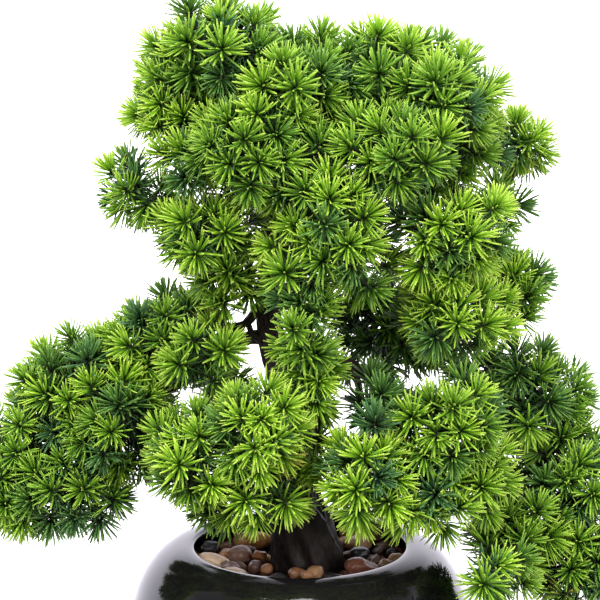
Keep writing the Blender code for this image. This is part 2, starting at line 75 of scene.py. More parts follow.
LIMBS = {
    "limb_lower_left": ("lower_left", (-17, 0, 240),
        [((-33, 1, 239), 4.4), ((-48, -2, 231), 4.0), ((-68, -4, 217), 3.7), ((-92, -6, 201), 3.3),
         ((-118, -6, 186), 2.9), ((-145, -3, 173), 2.4), ((-172, 0, 166), 1.9)],
        [[((-40, 0, 236), 2.6), ((-50, -2, 247), 2.3), ((-64, -1, 251), 2.0), ((-84, 0, 243), 1.6)],
         [((-46, -2, 232), 2.0), ((-51, -22, 236), 1.6)],
         [((-88, -6, 203), 2.0), ((-100, -15, 196), 1.6)],
         [((-118, -6, 186), 2.0), ((-144, 2, 201), 1.6)],
         [((-116, -6, 187), 2.0), ((-129, -10, 160), 1.6)],
         [((-86, -6, 205), 2.2), ((-104, 30, 194), 1.9), ((-118, 58, 188), 1.6)]]),
    "limb_lower_right": ("lower_right", (-11, 0, 213),
        [((7, 3, 220), 4.6), ((25, 4, 224), 4.2), ((34, 7, 219), 4.0), ((52, 10, 208), 3.7), ((88, 14, 192), 3.2),
         ((124, 20, 180), 2.9), ((150, 22, 165), 2.5), ((170, 19, 142), 2.2), ((175, 15, 102), 1.8)],
        [[((29, 5, 222), 2.6), ((37, 3, 206), 2.2), ((35, 1, 186), 1.6)],
         [((122, 20, 181), 2.1), ((147, 30, 194), 1.6)],
         [((156, 21, 158), 2.1), ((142, 10, 130), 1.8), ((133, 3, 117), 1.6)]]),
    "limb_mid_left": ("mid_left", (-17, 0, 291),
        [((-31, 0, 295), 3.4), ((-44, -1, 301), 3.0), ((-68, -1, 311), 2.6), ((-92, -4, 325), 2.0)],
        [[((-46, -1, 302), 1.9), ((-55, -28, 308), 1.6)],
         [((-54, -1, 305), 1.9), ((-63, 36, 301), 1.6)]]),
    "limb_mid_right": ("mid_right", (-11, 0, 317),
        [((3, -2, 317), 3.7), ((24, -5, 309), 3.3), ((60, -10, 291), 2.9), ((90, -6, 276), 2.6),
         ((116, 8, 272), 2.3), ((134, 20, 273), 1.8)],
        [[((58, -10, 292), 2.0), ((84, -36, 307), 1.6)],
         [((84, -7, 279), 2.0), ((90, -20, 261), 1.6)],
         [((94, -4, 275), 2.1), ((118, 32, 304), 1.8), ((130, 52, 325), 1.6)]]),
    "limb_front_left": ("front_left", (-3, 0, 190),
        [((-9, -19, 191), 3.8), ((-20, -33, 192), 3.3), ((-38, -48, 188), 2.8), ((-62, -58, 181), 2.0)],
        [[((-23, -36, 191), 2.1), ((-26, -66, 199), 1.6)],
         [((-16, -28, 192), 2.1), ((-20, -50, 164), 1.6)],
         [((-30, -42, 190), 2.1), ((-44, -36, 166), 1.8), ((-53, -32, 147), 1.6)]]),
    "limb_front_right": ("front_right", (0, 0, 177),
        [((14, -15, 178), 3.8), ((28, -33, 178), 3.3), ((50, -47, 180), 2.8), ((82, -56, 193), 2.0)],
        [[((32, -36, 178), 2.1), ((38, -72, 180), 1.6)],
         [((42, -42, 179), 2.1), ((54, -39, 201), 1.6)],
         [((56, -49, 182), 2.1), ((75, -57, 162), 1.6)]]),
    "limb_back": ("back", (-19, 0, 262),
        [((-17, 14, 265), 3.8), ((-12, 34, 273), 3.3), ((0, 58, 285), 2.7), ((13, 78, 297), 2.0)],
        [[((-11, 36, 274), 2.2), ((18, 48, 254), 1.9), ((54, 62, 236), 1.6)],
         [((-14, 28, 271), 2.2), ((-36, 50, 236), 1.9), ((-54, 70, 192), 1.6)]]),
    "limb_crown_left": ("root", (-8, 0, 326),
        [((-19, -1, 333), 3.4), ((-34, -2, 346), 3.0), ((-52, -2, 365), 2.6), ((-69, 0, 382), 2.0)],
        [[((-42, -2, 354), 2.0), ((-46, -4, 404), 1.6)],
         [((-28, -2, 341), 2.0), ((-30, -44, 362), 1.6)],
         [((-36, -2, 348), 2.0), ((-45, 60, 377), 1.6)]]),
    "limb_crown_right": ("root", (4, -1, 357),
        [((15, -1, 357), 3.2), ((36, -2, 362), 2.8), ((62, 0, 368), 2.4), ((88, 4, 373), 1.8)],
        [[((40, -2, 363), 1.9), ((52, 0, 392), 1.6)],
         [((30, -2, 361), 1.9), ((54, -46, 358), 1.6)],
         [((46, -1, 364), 1.9), ((54, 62, 376), 1.6)]]),
    "limb_centre": ("root", (-16, 0, 298),
        [((-12, -12, 299), 3.0), ((0, -30, 303), 2.6), ((17, -56, 311), 1.9)],
        [[((-6, -21, 301), 2.0), ((-1, -40, 280), 1.8), ((3, -57, 259), 1.6)],
         [((-17, -2, 262), 3.0), ((-26, -7, 259), 2.6), ((-32, -9, 251), 2.4), ((-41, -9, 248), 2.2), ((-51, -9, 253), 1.8),
          ((-60, -10, 258), 1.4)],
         [((-40, -9, 248), 2.1), ((-46, -9, 239), 1.7), ((-50, -9, 228), 1.4)],
         [((-32, -9, 251), 2.2), ((-28, -6, 242), 2.0), ((-19, -2, 234), 2.0)],
         [((3, -2, 236), 2.2), ((14, -20, 226), 1.9), ((14, -38, 210), 1.6), ((10, -40, 188), 1.4)]]),
}

# spray: limb it grows from, tone (0 dark and bluish .. 1 lime). The tone is partly the needles' own colour and partly
# painted light and shade: sprays at the back, underneath or behind others (back_*, cascade_*, front_under) are painted
# darker, well-lit ones (mid_right_*, right_front, crown_left) lighter
SPRAYS = {
    "crown_left": ("limb_crown_left", 0.94), "crown_top_left": ("limb_crown_left", 0.48),
    "crown_top_mid": ("trunk", 0.56), "crown_top_right": ("limb_crown_right", 0.57),
    "crown_right": ("limb_crown_right", 0.68), "crown_front_right": ("limb_crown_right", 0.60),
    "crown_front_left": ("limb_crown_left", 0.56), "crown_back_left": ("limb_crown_left", 0.50),
    "crown_back_right": ("limb_crown_right", 0.50), "centre_upper": ("limb_centre", 0.74),
    "centre_lower": ("limb_centre", 0.62), "mid_left_tip": ("limb_mid_left", 0.62),
    "mid_left_front": ("limb_mid_left", 0.74), "mid_left_back": ("limb_mid_left", 0.45),
    "mid_right_upper": ("limb_mid_right", 1.00), "mid_right_lower": ("limb_mid_right", 1.00),
    "mid_right_back": ("limb_mid_right", 0.62), "mid_right_tip": ("limb_mid_right", 0.58),
    "left_inner": ("limb_lower_left", 0.75), "left_upper": ("limb_lower_left", 0.63),
    "left_middle": ("limb_lower_left", 0.77), "left_outer": ("limb_lower_left", 0.66),
    "left_tip": ("limb_lower_left", 0.61), "left_low": ("limb_lower_left", 0.48),
    "left_back": ("limb_lower_left", 0.42), "front_left": ("limb_front_left", 0.73),
    "front_centre": ("limb_front_left", 0.86), "front_low": ("limb_front_left", 0.80),
    "front_under": ("limb_front_left", 0.40), "right_front": ("limb_front_right", 1.00),
    # right_dark is a painted shadow: a spray toned nearly black to stand for the shade behind the right front
    "right_dark": ("limb_front_right", 0.10), "right_middle": ("limb_front_right", 0.72),
    "right_low": ("limb_front_right", 0.78), "cascade_top": ("limb_lower_right", 0.43),
    "cascade_mid": ("limb_lower_right", 0.45), "cascade_low": ("limb_lower_right", 0.62),
    "cascade_tip": ("limb_lower_right", 0.44), "back_upper": ("limb_back", 0.45),
    "back_middle": ("limb_back", 0.30), "back_lower": ("limb_back", 0.35),
}
BODY_OF = {"trunk": "root"}
BODY_OF.update({name: data[0] for name, data in LIMBS.items()})


# ------------------------------------------------------------------ small helpers
def unit(v):
    v = np.asarray(v, float)
    return v / np.maximum(np.linalg.norm(v, axis=-1, keepdims=True), 1e-12)


def mesh_object(name, verts, quads=(), tris=(), uv=None, materials=(), smooth=True, sharp=None):
    """A mesh from arrays.  uv is one pair for each vertex, kept in the OFBake map."""
    quads = np.asarray(quads, np.int32).reshape(-1, 4)
    tris = np.asarray(tris, np.int32).reshape(-1, 3)
    mesh = bpy.data.meshes.new(name)
    mesh.vertices.add(len(verts))
    mesh.vertices.foreach_set("co", np.asarray(verts, np.float32).ravel())
    loops = np.concatenate([quads.ravel(), tris.ravel()])
    starts = np.concatenate([np.arange(len(quads)) * 4, len(quads) * 4 + np.arange(len(tris)) * 3])
    mesh.loops.add(len(loops))
    mesh.loops.foreach_set("vertex_index", loops.astype(np.int32))
    mesh.polygons.add(len(starts))
    mesh.polygons.foreach_set("loop_start", starts.astype(np.int32))
    mesh.update(calc_edges=True)
    if smooth:
        mesh.shade_smooth()
    if sharp is not None:
        mesh.set_sharp_from_angle(angle=math.radians(sharp))
    if uv is not None:
        layer = mesh.uv_layers.new(name="OFBake")
        layer.uv.foreach_set("vector", np.asarray(uv, np.float32)[loops].ravel())
    for m in materials:
        mesh.materials.append(m)
    obj = bpy.data.objects.new(name, mesh)
    ROOT_COLLECTION.objects.link(obj)
    return obj


def smooth_path(points, step):
    """Centripetal Catmull-Rom through rows of numbers (x, y, z, radius...), sampled about every step mm."""
    p = np.asarray(points, float)
    p = np.vstack([2 * p[0] - p[1], p, 2 * p[-1] - p[-2]])
    out = []
    for i in range(1, len(p) - 2):
        a, b, c, d = p[i - 1], p[i], p[i + 1], p[i + 2]
        t0 = 0.0
        t1 = t0 + max(np.linalg.norm(b[:3] - a[:3]), 1e-6) ** 0.5
        t2 = t1 + max(np.linalg.norm(c[:3] - b[:3]), 1e-6) ** 0.5
        t3 = t2 + max(np.linalg.norm(d[:3] - c[:3]), 1e-6) ** 0.5
        count = max(2, int(math.ceil(np.linalg.norm(c[:3] - b[:3]) / step)))
        for k in range(count):
            t = t1 + (t2 - t1) * k / count
            a1 = (t1 - t) / (t1 - t0) * a + (t - t0) / (t1 - t0) * b
            a2 = (t2 - t) / (t2 - t1) * b + (t - t1) / (t2 - t1) * c
            a3 = (t3 - t) / (t3 - t2) * c + (t - t2) / (t3 - t2) * d
            b1 = (t2 - t) / (t2 - t0) * a1 + (t - t0) / (t2 - t0) * a2
            b2 = (t3 - t) / (t3 - t1) * a2 + (t - t1) / (t3 - t1) * a3
            out.append((t2 - t) / (t2 - t1) * b1 + (t - t1) / (t2 - t1) * b2)
    out.append(p[-2])
    return np.array(out)


def frames_along(path):
    """Unit tangents and two cross directions that don't twist."""
    tangent = unit(np.gradient(path, axis=0))
    side = np.cross(tangent[0], (0.0, 0.0, 1.0) if abs(tangent[0][2]) < 0.9 else (0.0, 1.0, 0.0))
    side = unit(side)
    sides = []
    for t in tangent:
        side = unit(side - t * np.dot(side, t))
        sides.append(side)
    sides = np.array(sides)
    return tangent, sides, np.cross(tangent, sides)


def tube_mesh(path, radii, sides, shape=None):
    """Rings along a path with closed ends, in mm.  shape(i, angles) scales the radius round ring i."""
    tangent, u, v = frames_along(path)
    angle = np.arange(sides) * 2 * math.pi / sides
    ring = np.cos(angle)[None, :, None] * u[:, None, :] + np.sin(angle)[None, :, None] * v[:, None, :]
    scale = np.ones((len(path), sides))
    if shape is not None:
        scale = np.array([shape(i, angle) for i in range(len(path))])
    verts = path[:, None, :] + ring * (radii[:, None] * scale)[:, :, None]
    verts = verts.reshape(-1, 3)
    n = len(path)
    i, k = np.meshgrid(np.arange(n - 1), np.arange(sides), indexing="ij")
    a = i * sides + k
    b = i * sides + (k + 1) % sides
    quads = np.stack([a, b, b + sides, a + sides], -1).reshape(-1, 4)
    first, last = len(verts), len(verts) + 1
    verts = np.vstack([verts, path[0] - tangent[0] * radii[0] * 0.15, path[-1] + tangent[-1] * radii[-1] * 0.6])
    k = np.arange(sides)
    tris = np.vstack([np.stack([np.full(sides, first), (k + 1) % sides, k], -1),
                      np.stack([np.full(sides, last), (n - 1) * sides + k, (n - 1) * sides + (k + 1) % sides], -1)])
    return verts, quads, tris


def merge(parts):
    """Several (verts, quads, tris) as one."""
    vs, qs, ts, base = [], [], [], 0
    for v, q, t in parts:
        vs.append(v)
        qs.append(np.asarray(q, int).reshape(-1, 4) + base)
        ts.append(np.asarray(t, int).reshape(-1, 3) + base)
        base += len(v)
    return np.vstack(vs), np.vstack(qs), np.vstack(ts)


def noise3(points, scale, octaves=3, seed=0.0):
    out = np.empty(len(points))
    for i, p in enumerate(points):
        q = Vector((p[0] * scale + seed, p[1] * scale - seed, p[2] * scale + 2 * seed))
        out[i] = noise.fractal(q, 0.8, 2.1, octaves)
    return out


# ------------------------------------------------------------------ materials
class Graph:
    """A material with a Principled shader and short helpers for its nodes."""

    def __init__(self, name, **constants):
        self.material = bpy.data.materials.new(name)
        self.material.use_nodes = True
        self.tree = self.material.node_tree
        self.shader = self.tree.nodes["Principled BSDF"]
        self.output = self.tree.nodes["Material Output"]
        for socket, value in constants.items():
            self.shader.inputs[socket.replace("_", " ")].default_value = value

    def node(self, kind, **settings):
        made = self.tree.nodes.new(kind)
        for key, value in settings.items():
            setattr(made, key, value)
        return made

    def link(self, a, b):
        self.tree.links.new(a, b)

    def ramp(self, stops, fac=None, interpolation="LINEAR"):
        made = self.node("ShaderNodeValToRGB")
        made.color_ramp.interpolation = interpolation
        elements = made.color_ramp.elements
        while len(elements) < len(stops):
            elements.new(0.5)
        for element, (at, colour) in zip(elements, stops):
            element.position = at
            element.color = (*colour, 1.0) if len(colour) == 3 else colour
        if fac is not None:
            self.link(fac, made.inputs["Fac"])
        return made.outputs["Color"]

    def mix(self, fac, a, b, mode="MIX"):
        made = self.node("ShaderNodeMix", data_type="RGBA", blend_type=mode)
        for socket, value in ((made.inputs["Factor"], fac), (made.inputs["A"], a), (made.inputs["B"], b)):
            if hasattr(value, "links"):
                self.link(value, socket)
            elif isinstance(value, (int, float)):
                socket.default_value = value
            else:
                socket.default_value = (*value, 1.0)
        return made.outputs["Result"]

    def maths(self, operation, a, b=None, clamp=False):
        made = self.node("ShaderNodeMath", operation=operation, use_clamp=clamp)
        for socket, value in zip(made.inputs, (a, b)):
            if value is None:
                continue
            if hasattr(value, "links"):
                self.link(value, socket)
            else:
                socket.default_value = value
        return made.outputs["Value"]

    def span(self, value, low, high, to_low=0.0, to_high=1.0):
        made = self.node("ShaderNodeMapRange")
        self.link(value, made.inputs["Value"])
        made.inputs["From Min"].default_value = low
        made.inputs["From Max"].default_value = high
        made.inputs["To Min"].default_value = to_low
        made.inputs["To Max"].default_value = to_high
        return made.outputs["Result"]

    def place(self):
        return self.node("ShaderNodeTexCoord").outputs["Object"]

    def noise(self, scale, detail=4.0, roughness=0.55, vector=None, distortion=0.0):
        made = self.node("ShaderNodeTexNoise")
        made.inputs["Scale"].default_value = scale
        made.inputs["Detail"].default_value = detail
        made.inputs["Roughness"].default_value = roughness
        made.inputs["Distortion"].default_value = distortion
        self.link(vector or self.place(), made.inputs["Vector"])
        return made.outputs["Fac"]

    def stretched(self, scale):
        made = self.node("ShaderNodeMapping")
        self.link(self.place(), made.inputs["Vector"])
        made.inputs["Scale"].default_value = scale
        return made.outputs["Vector"]

    def bump(self, height, strength, distance):
        made = self.node("ShaderNodeBump")
        made.inputs["Strength"].default_value = strength
        made.inputs["Distance"].default_value = distance
        self.link(height, made.inputs["Height"])
        self.link(made.outputs["Normal"], self.shader.inputs["Normal"])

    def colour(self, socket):
        self.link(socket, self.shader.inputs["Base Color"])

    def rough(self, socket):
        self.link(socket, self.shader.inputs["Roughness"])


def needle_material(name):
    """Moulded needle: u of the map is the tuft's tone, v runs from the needle's root to its tip. Low tones take the
    dark, bluish ramp, which is painted shade for tufts deep in the foliage; the darker roots are partly the needle's
    own colour and partly painted shade inside the tuft.
    """
    g = Graph(name, Roughness=0.40, Specular_IOR_Level=0.30)
    where = g.node("ShaderNodeUVMap", uv_map="OFBake").outputs["UV"]
    split = g.node("ShaderNodeSeparateXYZ")
    g.link(where, split.inputs["Vector"])
    u, v = split.outputs["X"], split.outputs["Y"]
    twig = [(0.92, (0.048, 0.046, 0.032)), (1.0, (0.052, 0.040, 0.034))]
    dark = g.ramp([(0.00, (0.036, 0.042, 0.030)), (0.30, (0.030, 0.076, 0.038)), (0.62, (0.040, 0.130, 0.056)),
                   (0.86, (0.086, 0.205, 0.092)), (0.885, (0.115, 0.245, 0.110))] + twig, v)
    mid = g.ramp([(0.00, (0.056, 0.078, 0.036)), (0.20, (0.072, 0.176, 0.024)), (0.58, (0.146, 0.325, 0.020)),
                  (0.84, (0.270, 0.460, 0.046)), (0.885, (0.390, 0.560, 0.090))] + twig, v)
    lime = g.ramp([(0.00, (0.080, 0.142, 0.036)), (0.20, (0.150, 0.332, 0.022)), (0.52, (0.300, 0.560, 0.026)),
                   (0.80, (0.510, 0.725, 0.076)), (0.885, (0.680, 0.830, 0.180))] + twig, v)
    old = g.ramp([(0.00, (0.030, 0.060, 0.010)), (0.40, (0.170, 0.240, 0.026)), (0.80, (0.460, 0.440, 0.060)),
                  (0.885, (0.540, 0.400, 0.080))] + twig, v)
    shade = g.mix(g.span(u, 0.0, 0.46), dark, mid)
    shade = g.mix(g.span(u, 0.46, 0.90), shade, lime)
    shade = g.mix(g.span(u, 0.94, 0.97), shade, old)
    g.colour(shade)
    g.rough(g.span(v, 0.0, 0.88, 0.52, 0.36))
    return g.material


def bark_material(name):
    g = Graph(name, Specular_IOR_Level=0.24)
    height = g.node("ShaderNodeSeparateXYZ")
    g.link(g.place(), height.inputs["Vector"])
    foot = g.span(height.outputs["Z"], 0.128, 0.165, 1.0, 0.0)
    grain = g.noise(160.0, 6.0, 0.65, g.stretched((1.0, 1.0, 0.28)), 0.6)
    blotch = g.noise(38.0, 3.0, 0.5)
    upper = g.ramp([(0.28, (0.014, 0.008, 0.008)), (0.45, (0.042, 0.026, 0.026)), (0.60, (0.085, 0.058, 0.060)),
                    (0.78, (0.150, 0.108, 0.108))], grain)
    upper = g.mix(g.span(blotch, 0.42, 0.62, 0.0, 0.55), upper, (0.030, 0.020, 0.016))
    lower = g.ramp([(0.30, (0.0190, 0.0130, 0.0120)), (0.55, (0.0280, 0.0195, 0.0178)), (0.80, (0.060, 0.042, 0.038))],
                   grain)
    g.colour(g.mix(foot, upper, lower))
    g.rough(g.mix(foot, (0.60, 0.60, 0.60), g.ramp([(0.3, (0.40, 0.40, 0.40)), (0.8, (0.60, 0.60, 0.60))], grain)))
    g.bump(grain, 0.75, 0.0022)
    return g.material


def glaze_material(name):
    g = Graph(name, Specular_IOR_Level=0.5, IOR=1.52, Coat_Weight=0.35, Coat_Roughness=0.02)
    cloud = g.noise(14.0, 3.0, 0.5)
    fine = g.noise(420.0, 2.0, 0.5)
    g.colour(g.ramp([(0.35, (0.0060, 0.0052, 0.0055)), (0.65, (0.0100, 0.0090, 0.0095))], cloud))
    g.rough(g.span(fine, 0.3, 0.75, 0.045, 0.085))
    g.bump(cloud, 0.10, 0.0006)
    return g.material


def stone_material(name):
    """River pebbles: each one's own colour comes in as a point colour, with its alpha as the banding."""
    g = Graph(name, Specular_IOR_Level=0.55)
    tint = g.node("ShaderNodeAttribute", attribute_name="stone_tint")
    speck = g.noise(900.0, 3.0, 0.6)
    cloud = g.noise(130.0, 5.0, 0.6, None, 0.8)
    band = g.noise(300.0, 2.0, 0.5, g.stretched((0.35, 0.35, 1.6)), 1.2)
    shade = g.mix(g.span(cloud, 0.35, 0.68, 0.0, 0.5), tint.outputs["Color"], (0.50, 0.36, 0.25), "OVERLAY")
    shade = g.mix(g.maths("MULTIPLY", g.span(band, 0.52, 0.60), tint.outputs["Alpha"]), shade, (0.60, 0.50, 0.40), "SOFT_LIGHT")
    shade = g.mix(g.span(speck, 0.62, 0.72, 0.0, 0.55), shade, (0.10, 0.06, 0.045), "MULTIPLY")
    shade = g.mix(g.span(speck, 0.36, 0.28, 0.0, 0.30), shade, (0.75, 0.66, 0.56), "SCREEN")
    g.colour(shade)
    g.rough(g.span(cloud, 0.3, 0.7, 0.26, 0.42))
    g.bump(speck, 0.18, 0.0003)
    return g.material


def plain_material(name, stops, scale, rough, bump, stretch=None, metallic=0.0, detail=5.0):
    g = Graph(name, Metallic=metallic)
    grain = g.noise(scale, detail, 0.6, g.stretched(stretch) if stretch else None)
    g.colour(g.ramp(stops, grain))
    g.rough(g.span(grain, 0.3, 0.7, rough[0], rough[1]))
    g.bump(grain, bump[0], bump[1])
    return g.material


NEEDLES = needle_material("needles")
BARK = bark_material("bark")
GLAZE = glaze_material("glaze")
STONE = stone_material("stone")
SOIL = plain_material("grit", [(0.3, (0.010, 0.008, 0.007)), (0.7, (0.040, 0.030, 0.024))], 700.0, (0.6, 0.9), (0.5, 0.001))
FELT = plain_material("felt", [(0.3, (0.016, 0.016, 0.017)), (0.7, (0.050, 0.050, 0.053))], 1500.0, (0.85, 1.0), (0.5, 0.0006))
FOAM = plain_material("foam", [(0.3, (0.09, 0.12, 0.07)), (0.7, (0.20, 0.24, 0.15))], 900.0, (0.85, 1.0), (0.6, 0.0008))
STEEL = plain_material("steel", [(0.3, (0.42, 0.43, 0.45)), (0.7, (0.62, 0.63, 0.65))], 600.0, (0.28, 0.42), (0.1, 0.0002),
                       (1.0, 1.0, 0.05), 1.0)
FLOOR = plain_material("floor", [(0.3, (0.90, 0.90, 0.90)), (0.7, (0.93, 0.93, 0.93))], 3.0, (0.55, 0.65), (0.02, 0.0005))
# the floor glows, dim near the pot and bright far off: painted light on a floor that is no lamp
floor_tree = FLOOR.node_tree
far_off = floor_tree.nodes.new("ShaderNodeVectorMath")
far_off.operation = "LENGTH"
floor_tree.links.new(floor_tree.nodes.new("ShaderNodeTexCoord").outputs["Object"], far_off.inputs[0])
glow = floor_tree.nodes.new("ShaderNodeMapRange")
floor_tree.links.new(far_off.outputs["Value"], glow.inputs["Value"])
for key, value in zip(("From Min", "From Max", "To Min", "To Max"), (0.35, 1.6, 0.28, 1.8)):
    glow.inputs[key].default_value = value
floor_tree.nodes["Principled BSDF"].inputs["Emission Color"].default_value = (1.0, 1.0, 1.0, 1.0)
floor_tree.links.new(glow.outputs["Result"], floor_tree.nodes["Principled BSDF"].inputs["Emission Strength"])

# ------------------------------------------------------------------ CAD nodes that stay
for node_name, look in (("base_pad", FELT), ("foam_core", FOAM), ("trunk_rod", STEEL)):
    node = frame["nodes"][node_name]
    node.data.materials.clear()
    node.data.materials.append(look)

# ------------------------------------------------------------------ the bowl
POT_OUTER = [(66.6, 107.2), (67.6, 108.0), (72.0, 107.7), (80.0, 105.8), (88.0, 101.2), (94.8, 94.0),
             (100.2, 85.0), (104.2, 74.0), (106.5, 62.0), (107.0, 50.0), (105.0, 36.0), (99.0, 22.0),
             (90.0, 11.0), (80.0, 4.6), (72.0, 2.3)]
POT_INNER = [(70.0, 7.6), (84.0, 14.0), (93.0, 25.0), (99.5, 38.0), (101.8, 50.0), (101.2, 62.0), (99.0, 73.0),
             (95.4, 83.0), (90.4, 91.0), (84.6, 97.2), (77.5, 101.4), (70.5, 103.2), (66.4, 104.6)]


def lathe(name, profile, steps, material):
    """Turned once round Z: a profile in mm from the axis, out and back to the axis."""
    profile = np.asarray(profile, float)
    body = profile[1:-1]
    angle = np.arange(steps) * 2 * math.pi / steps
    ring = np.stack([np.cos(angle), np.sin(angle)], -1)
    verts = np.concatenate([body[:, None, :1] * ring[None, :, :], np.repeat(body[:, None, 1:], steps, 1)], -1)
    n = len(body)
    i, k = np.meshgrid(np.arange(n - 1), np.arange(steps), indexing="ij")
    a, b = i * steps + k, i * steps + (k + 1) % steps
    quads = np.stack([a, b, b + steps, a + steps], -1).reshape(-1, 4)[:, ::-1]
    verts = np.vstack([verts.reshape(-1, 3), [(0, 0, profile[0, 1]), (0, 0, profile[-1, 1])]])
    k = np.arange(steps)
    first, last = len(verts) - 2, len(verts) - 1
    tris = np.vstack([np.stack([np.full(steps, first), k, (k + 1) % steps], -1),
                      np.stack([np.full(steps, last), (n - 1) * steps + (k + 1) % steps, (n - 1) * steps + k], -1)])
    return mesh_object(name, verts * MM, quads, tris, materials=[material], sharp=50)


def rounded(points, step=1.5):
    return smooth_path([(x, 0, z) for x, z in points], step)[:, [0, 2]]


outer = rounded(POT_OUTER, 2.0)
inner = rounded(POT_INNER, 3.0)
lip = smooth_path([(66.4, 0, 104.6), (66.0, 0, 106.0), (66.6, 0, 107.3), (67.9, 0, 107.9)], 0.4)[:, [0, 2]]
outer = rounded([(67.9, 107.9)] + POT_OUTER[2:], 2.0)
profile = np.vstack([[(0.0, 7.6)], inner[:-1], lip[:-1], outer, [(0.0, 2.3)]])
bowl = lathe("bowl", profile, 160, GLAZE)
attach(bowl, "root")
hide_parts("pot")

# ------------------------------------------------------------------ stones
STONE_TINTS = [((0.270, 0.130, 0.055), 0.4, 3), ((0.330, 0.215, 0.125), 0.5, 2), ((0.200, 0.068, 0.028), 0.3, 3),
               ((0.105, 0.042, 0.030), 0.4, 5), ((0.062, 0.034, 0.028), 0.3, 5), ((0.016, 0.014, 0.016), 0.2, 5),
               ((0.140, 0.088, 0.068), 0.6, 4), ((0.040, 0.038, 0.042), 0.3, 3), ((0.350, 0.135, 0.040), 0.3, 2),
               ((0.110, 0.064, 0.048), 0.5, 4)]
# stones that lie on top where the mouth shows them: place, half sizes, turn (degrees), tint
SHOWN = [((-1.9, -32.5), (5.2, 4.2, 3.8), 20, (0.240, 0.110, 0.052)), ((9.3, -28.5), (6.4, 4.8, 5.2), 50, (0.430, 0.250, 0.135)),
         ((4.5, -39.0), (4.4, 3.6, 3.0), 0, (0.300, 0.150, 0.075)), ((53.5, -15.0), (5.4, 4.4, 3.8), 30, (0.290, 0.150, 0.080)),
         ((61.0, -4.0), (5.4, 4.8, 4.0), 0, (0.480, 0.290, 0.155)), ((38.0, 7.3), (6.2, 5.0, 3.6), 0, (0.016, 0.015, 0.018)),
         ((46.0, 56.0), (9.0, 7.2, 6.0), 15, (0.450, 0.290, 0.165)), ((31.0, 54.0), (5.4, 4.8, 4.4), 0, (0.360, 0.190, 0.095)),
         ((-58.0, 20.0), (7.4, 5.6, 4.2), 10, (0.016, 0.015, 0.018)), ((-54.0, -7.0), (11.5, 6.6, 6.2), -25, (0.540, 0.400, 0.285)),
         ((-38.0, 8.5), (7.8, 6.4, 5.4), 30, (0.230, 0.135, 0.105)), ((-25.8, 4.0), (4.6, 5.2, 4.4), 0, (0.400, 0.160, 0.060)),
         ((-27.5, -18.0), (4.4, 5.2, 4.4), 0, (0.120, 0.060, 0.052)), ((-20.5, -25.5), (3.8, 3.4, 3.2), 0, (0.280, 0.130, 0.062)),
         ((-42.4, -17.5), (6.2, 4.8, 3.8), 20, (0.150, 0.095, 0.080))]
TINT_POOL = [tint[:2] for tint in STONE_TINTS for _ in range(tint[2])]


def ico(level):
    import bmesh
    shape = bmesh.new()
    bmesh.ops.create_icosphere(shape, subdivisions=level, radius=1.0)
    verts = np.array([v.co for v in shape.verts])
    tris = np.array([[v.index for v in f.verts] for f in shape.faces])
    shape.free()
    return verts, tris


ICO_V, ICO_T = ico(4)
ICO_NOISE = {}


def stone_shape(rng, half, seed):
    """A worn river stone: superellipsoid with slow bumps, in mm, about its centre.  One in four is a broken, rough one."""
    p = ICO_V.copy()
    power = rng.uniform(0.80, 1.0)
    p = np.sign(p) * np.abs(p) ** power
    lump = noise3(ICO_V, 0.9, 2, seed)
    if rng.uniform() < 0.28:
        for _ in range(7):
            way = unit(rng.normal(0, 1, 3))
            over = np.clip(p @ way - rng.uniform(0.62, 0.88), 0, None)
            p = p - over[:, None] * way * 0.92
        p = p * (1.0 + 0.07 * noise3(ICO_V, 3.2, 4, seed + 5))[:, None]
    p = p * (1.0 + 0.16 * lump)[:, None]
    p = p * np.asarray(half)
    p[:, 0] += 0.10 * half[0] * (p[:, 1] / half[1]) ** 2 * rng.uniform(-1, 1)
    return p


def turn_matrix(yaw, pitch, roll):
    cy, sy, cp, sp, cr, sr = (math.cos(yaw), math.sin(yaw), math.cos(pitch), math.sin(pitch), math.cos(roll), math.sin(roll))
    return (np.array([[cy, -sy, 0], [sy, cy, 0], [0, 0, 1]]) @ np.array([[cp, 0, sp], [0, 1, 0], [-sp, 0, cp]])
            @ np.array([[1, 0, 0], [0, cr, -sr], [0, sr, cr]]))


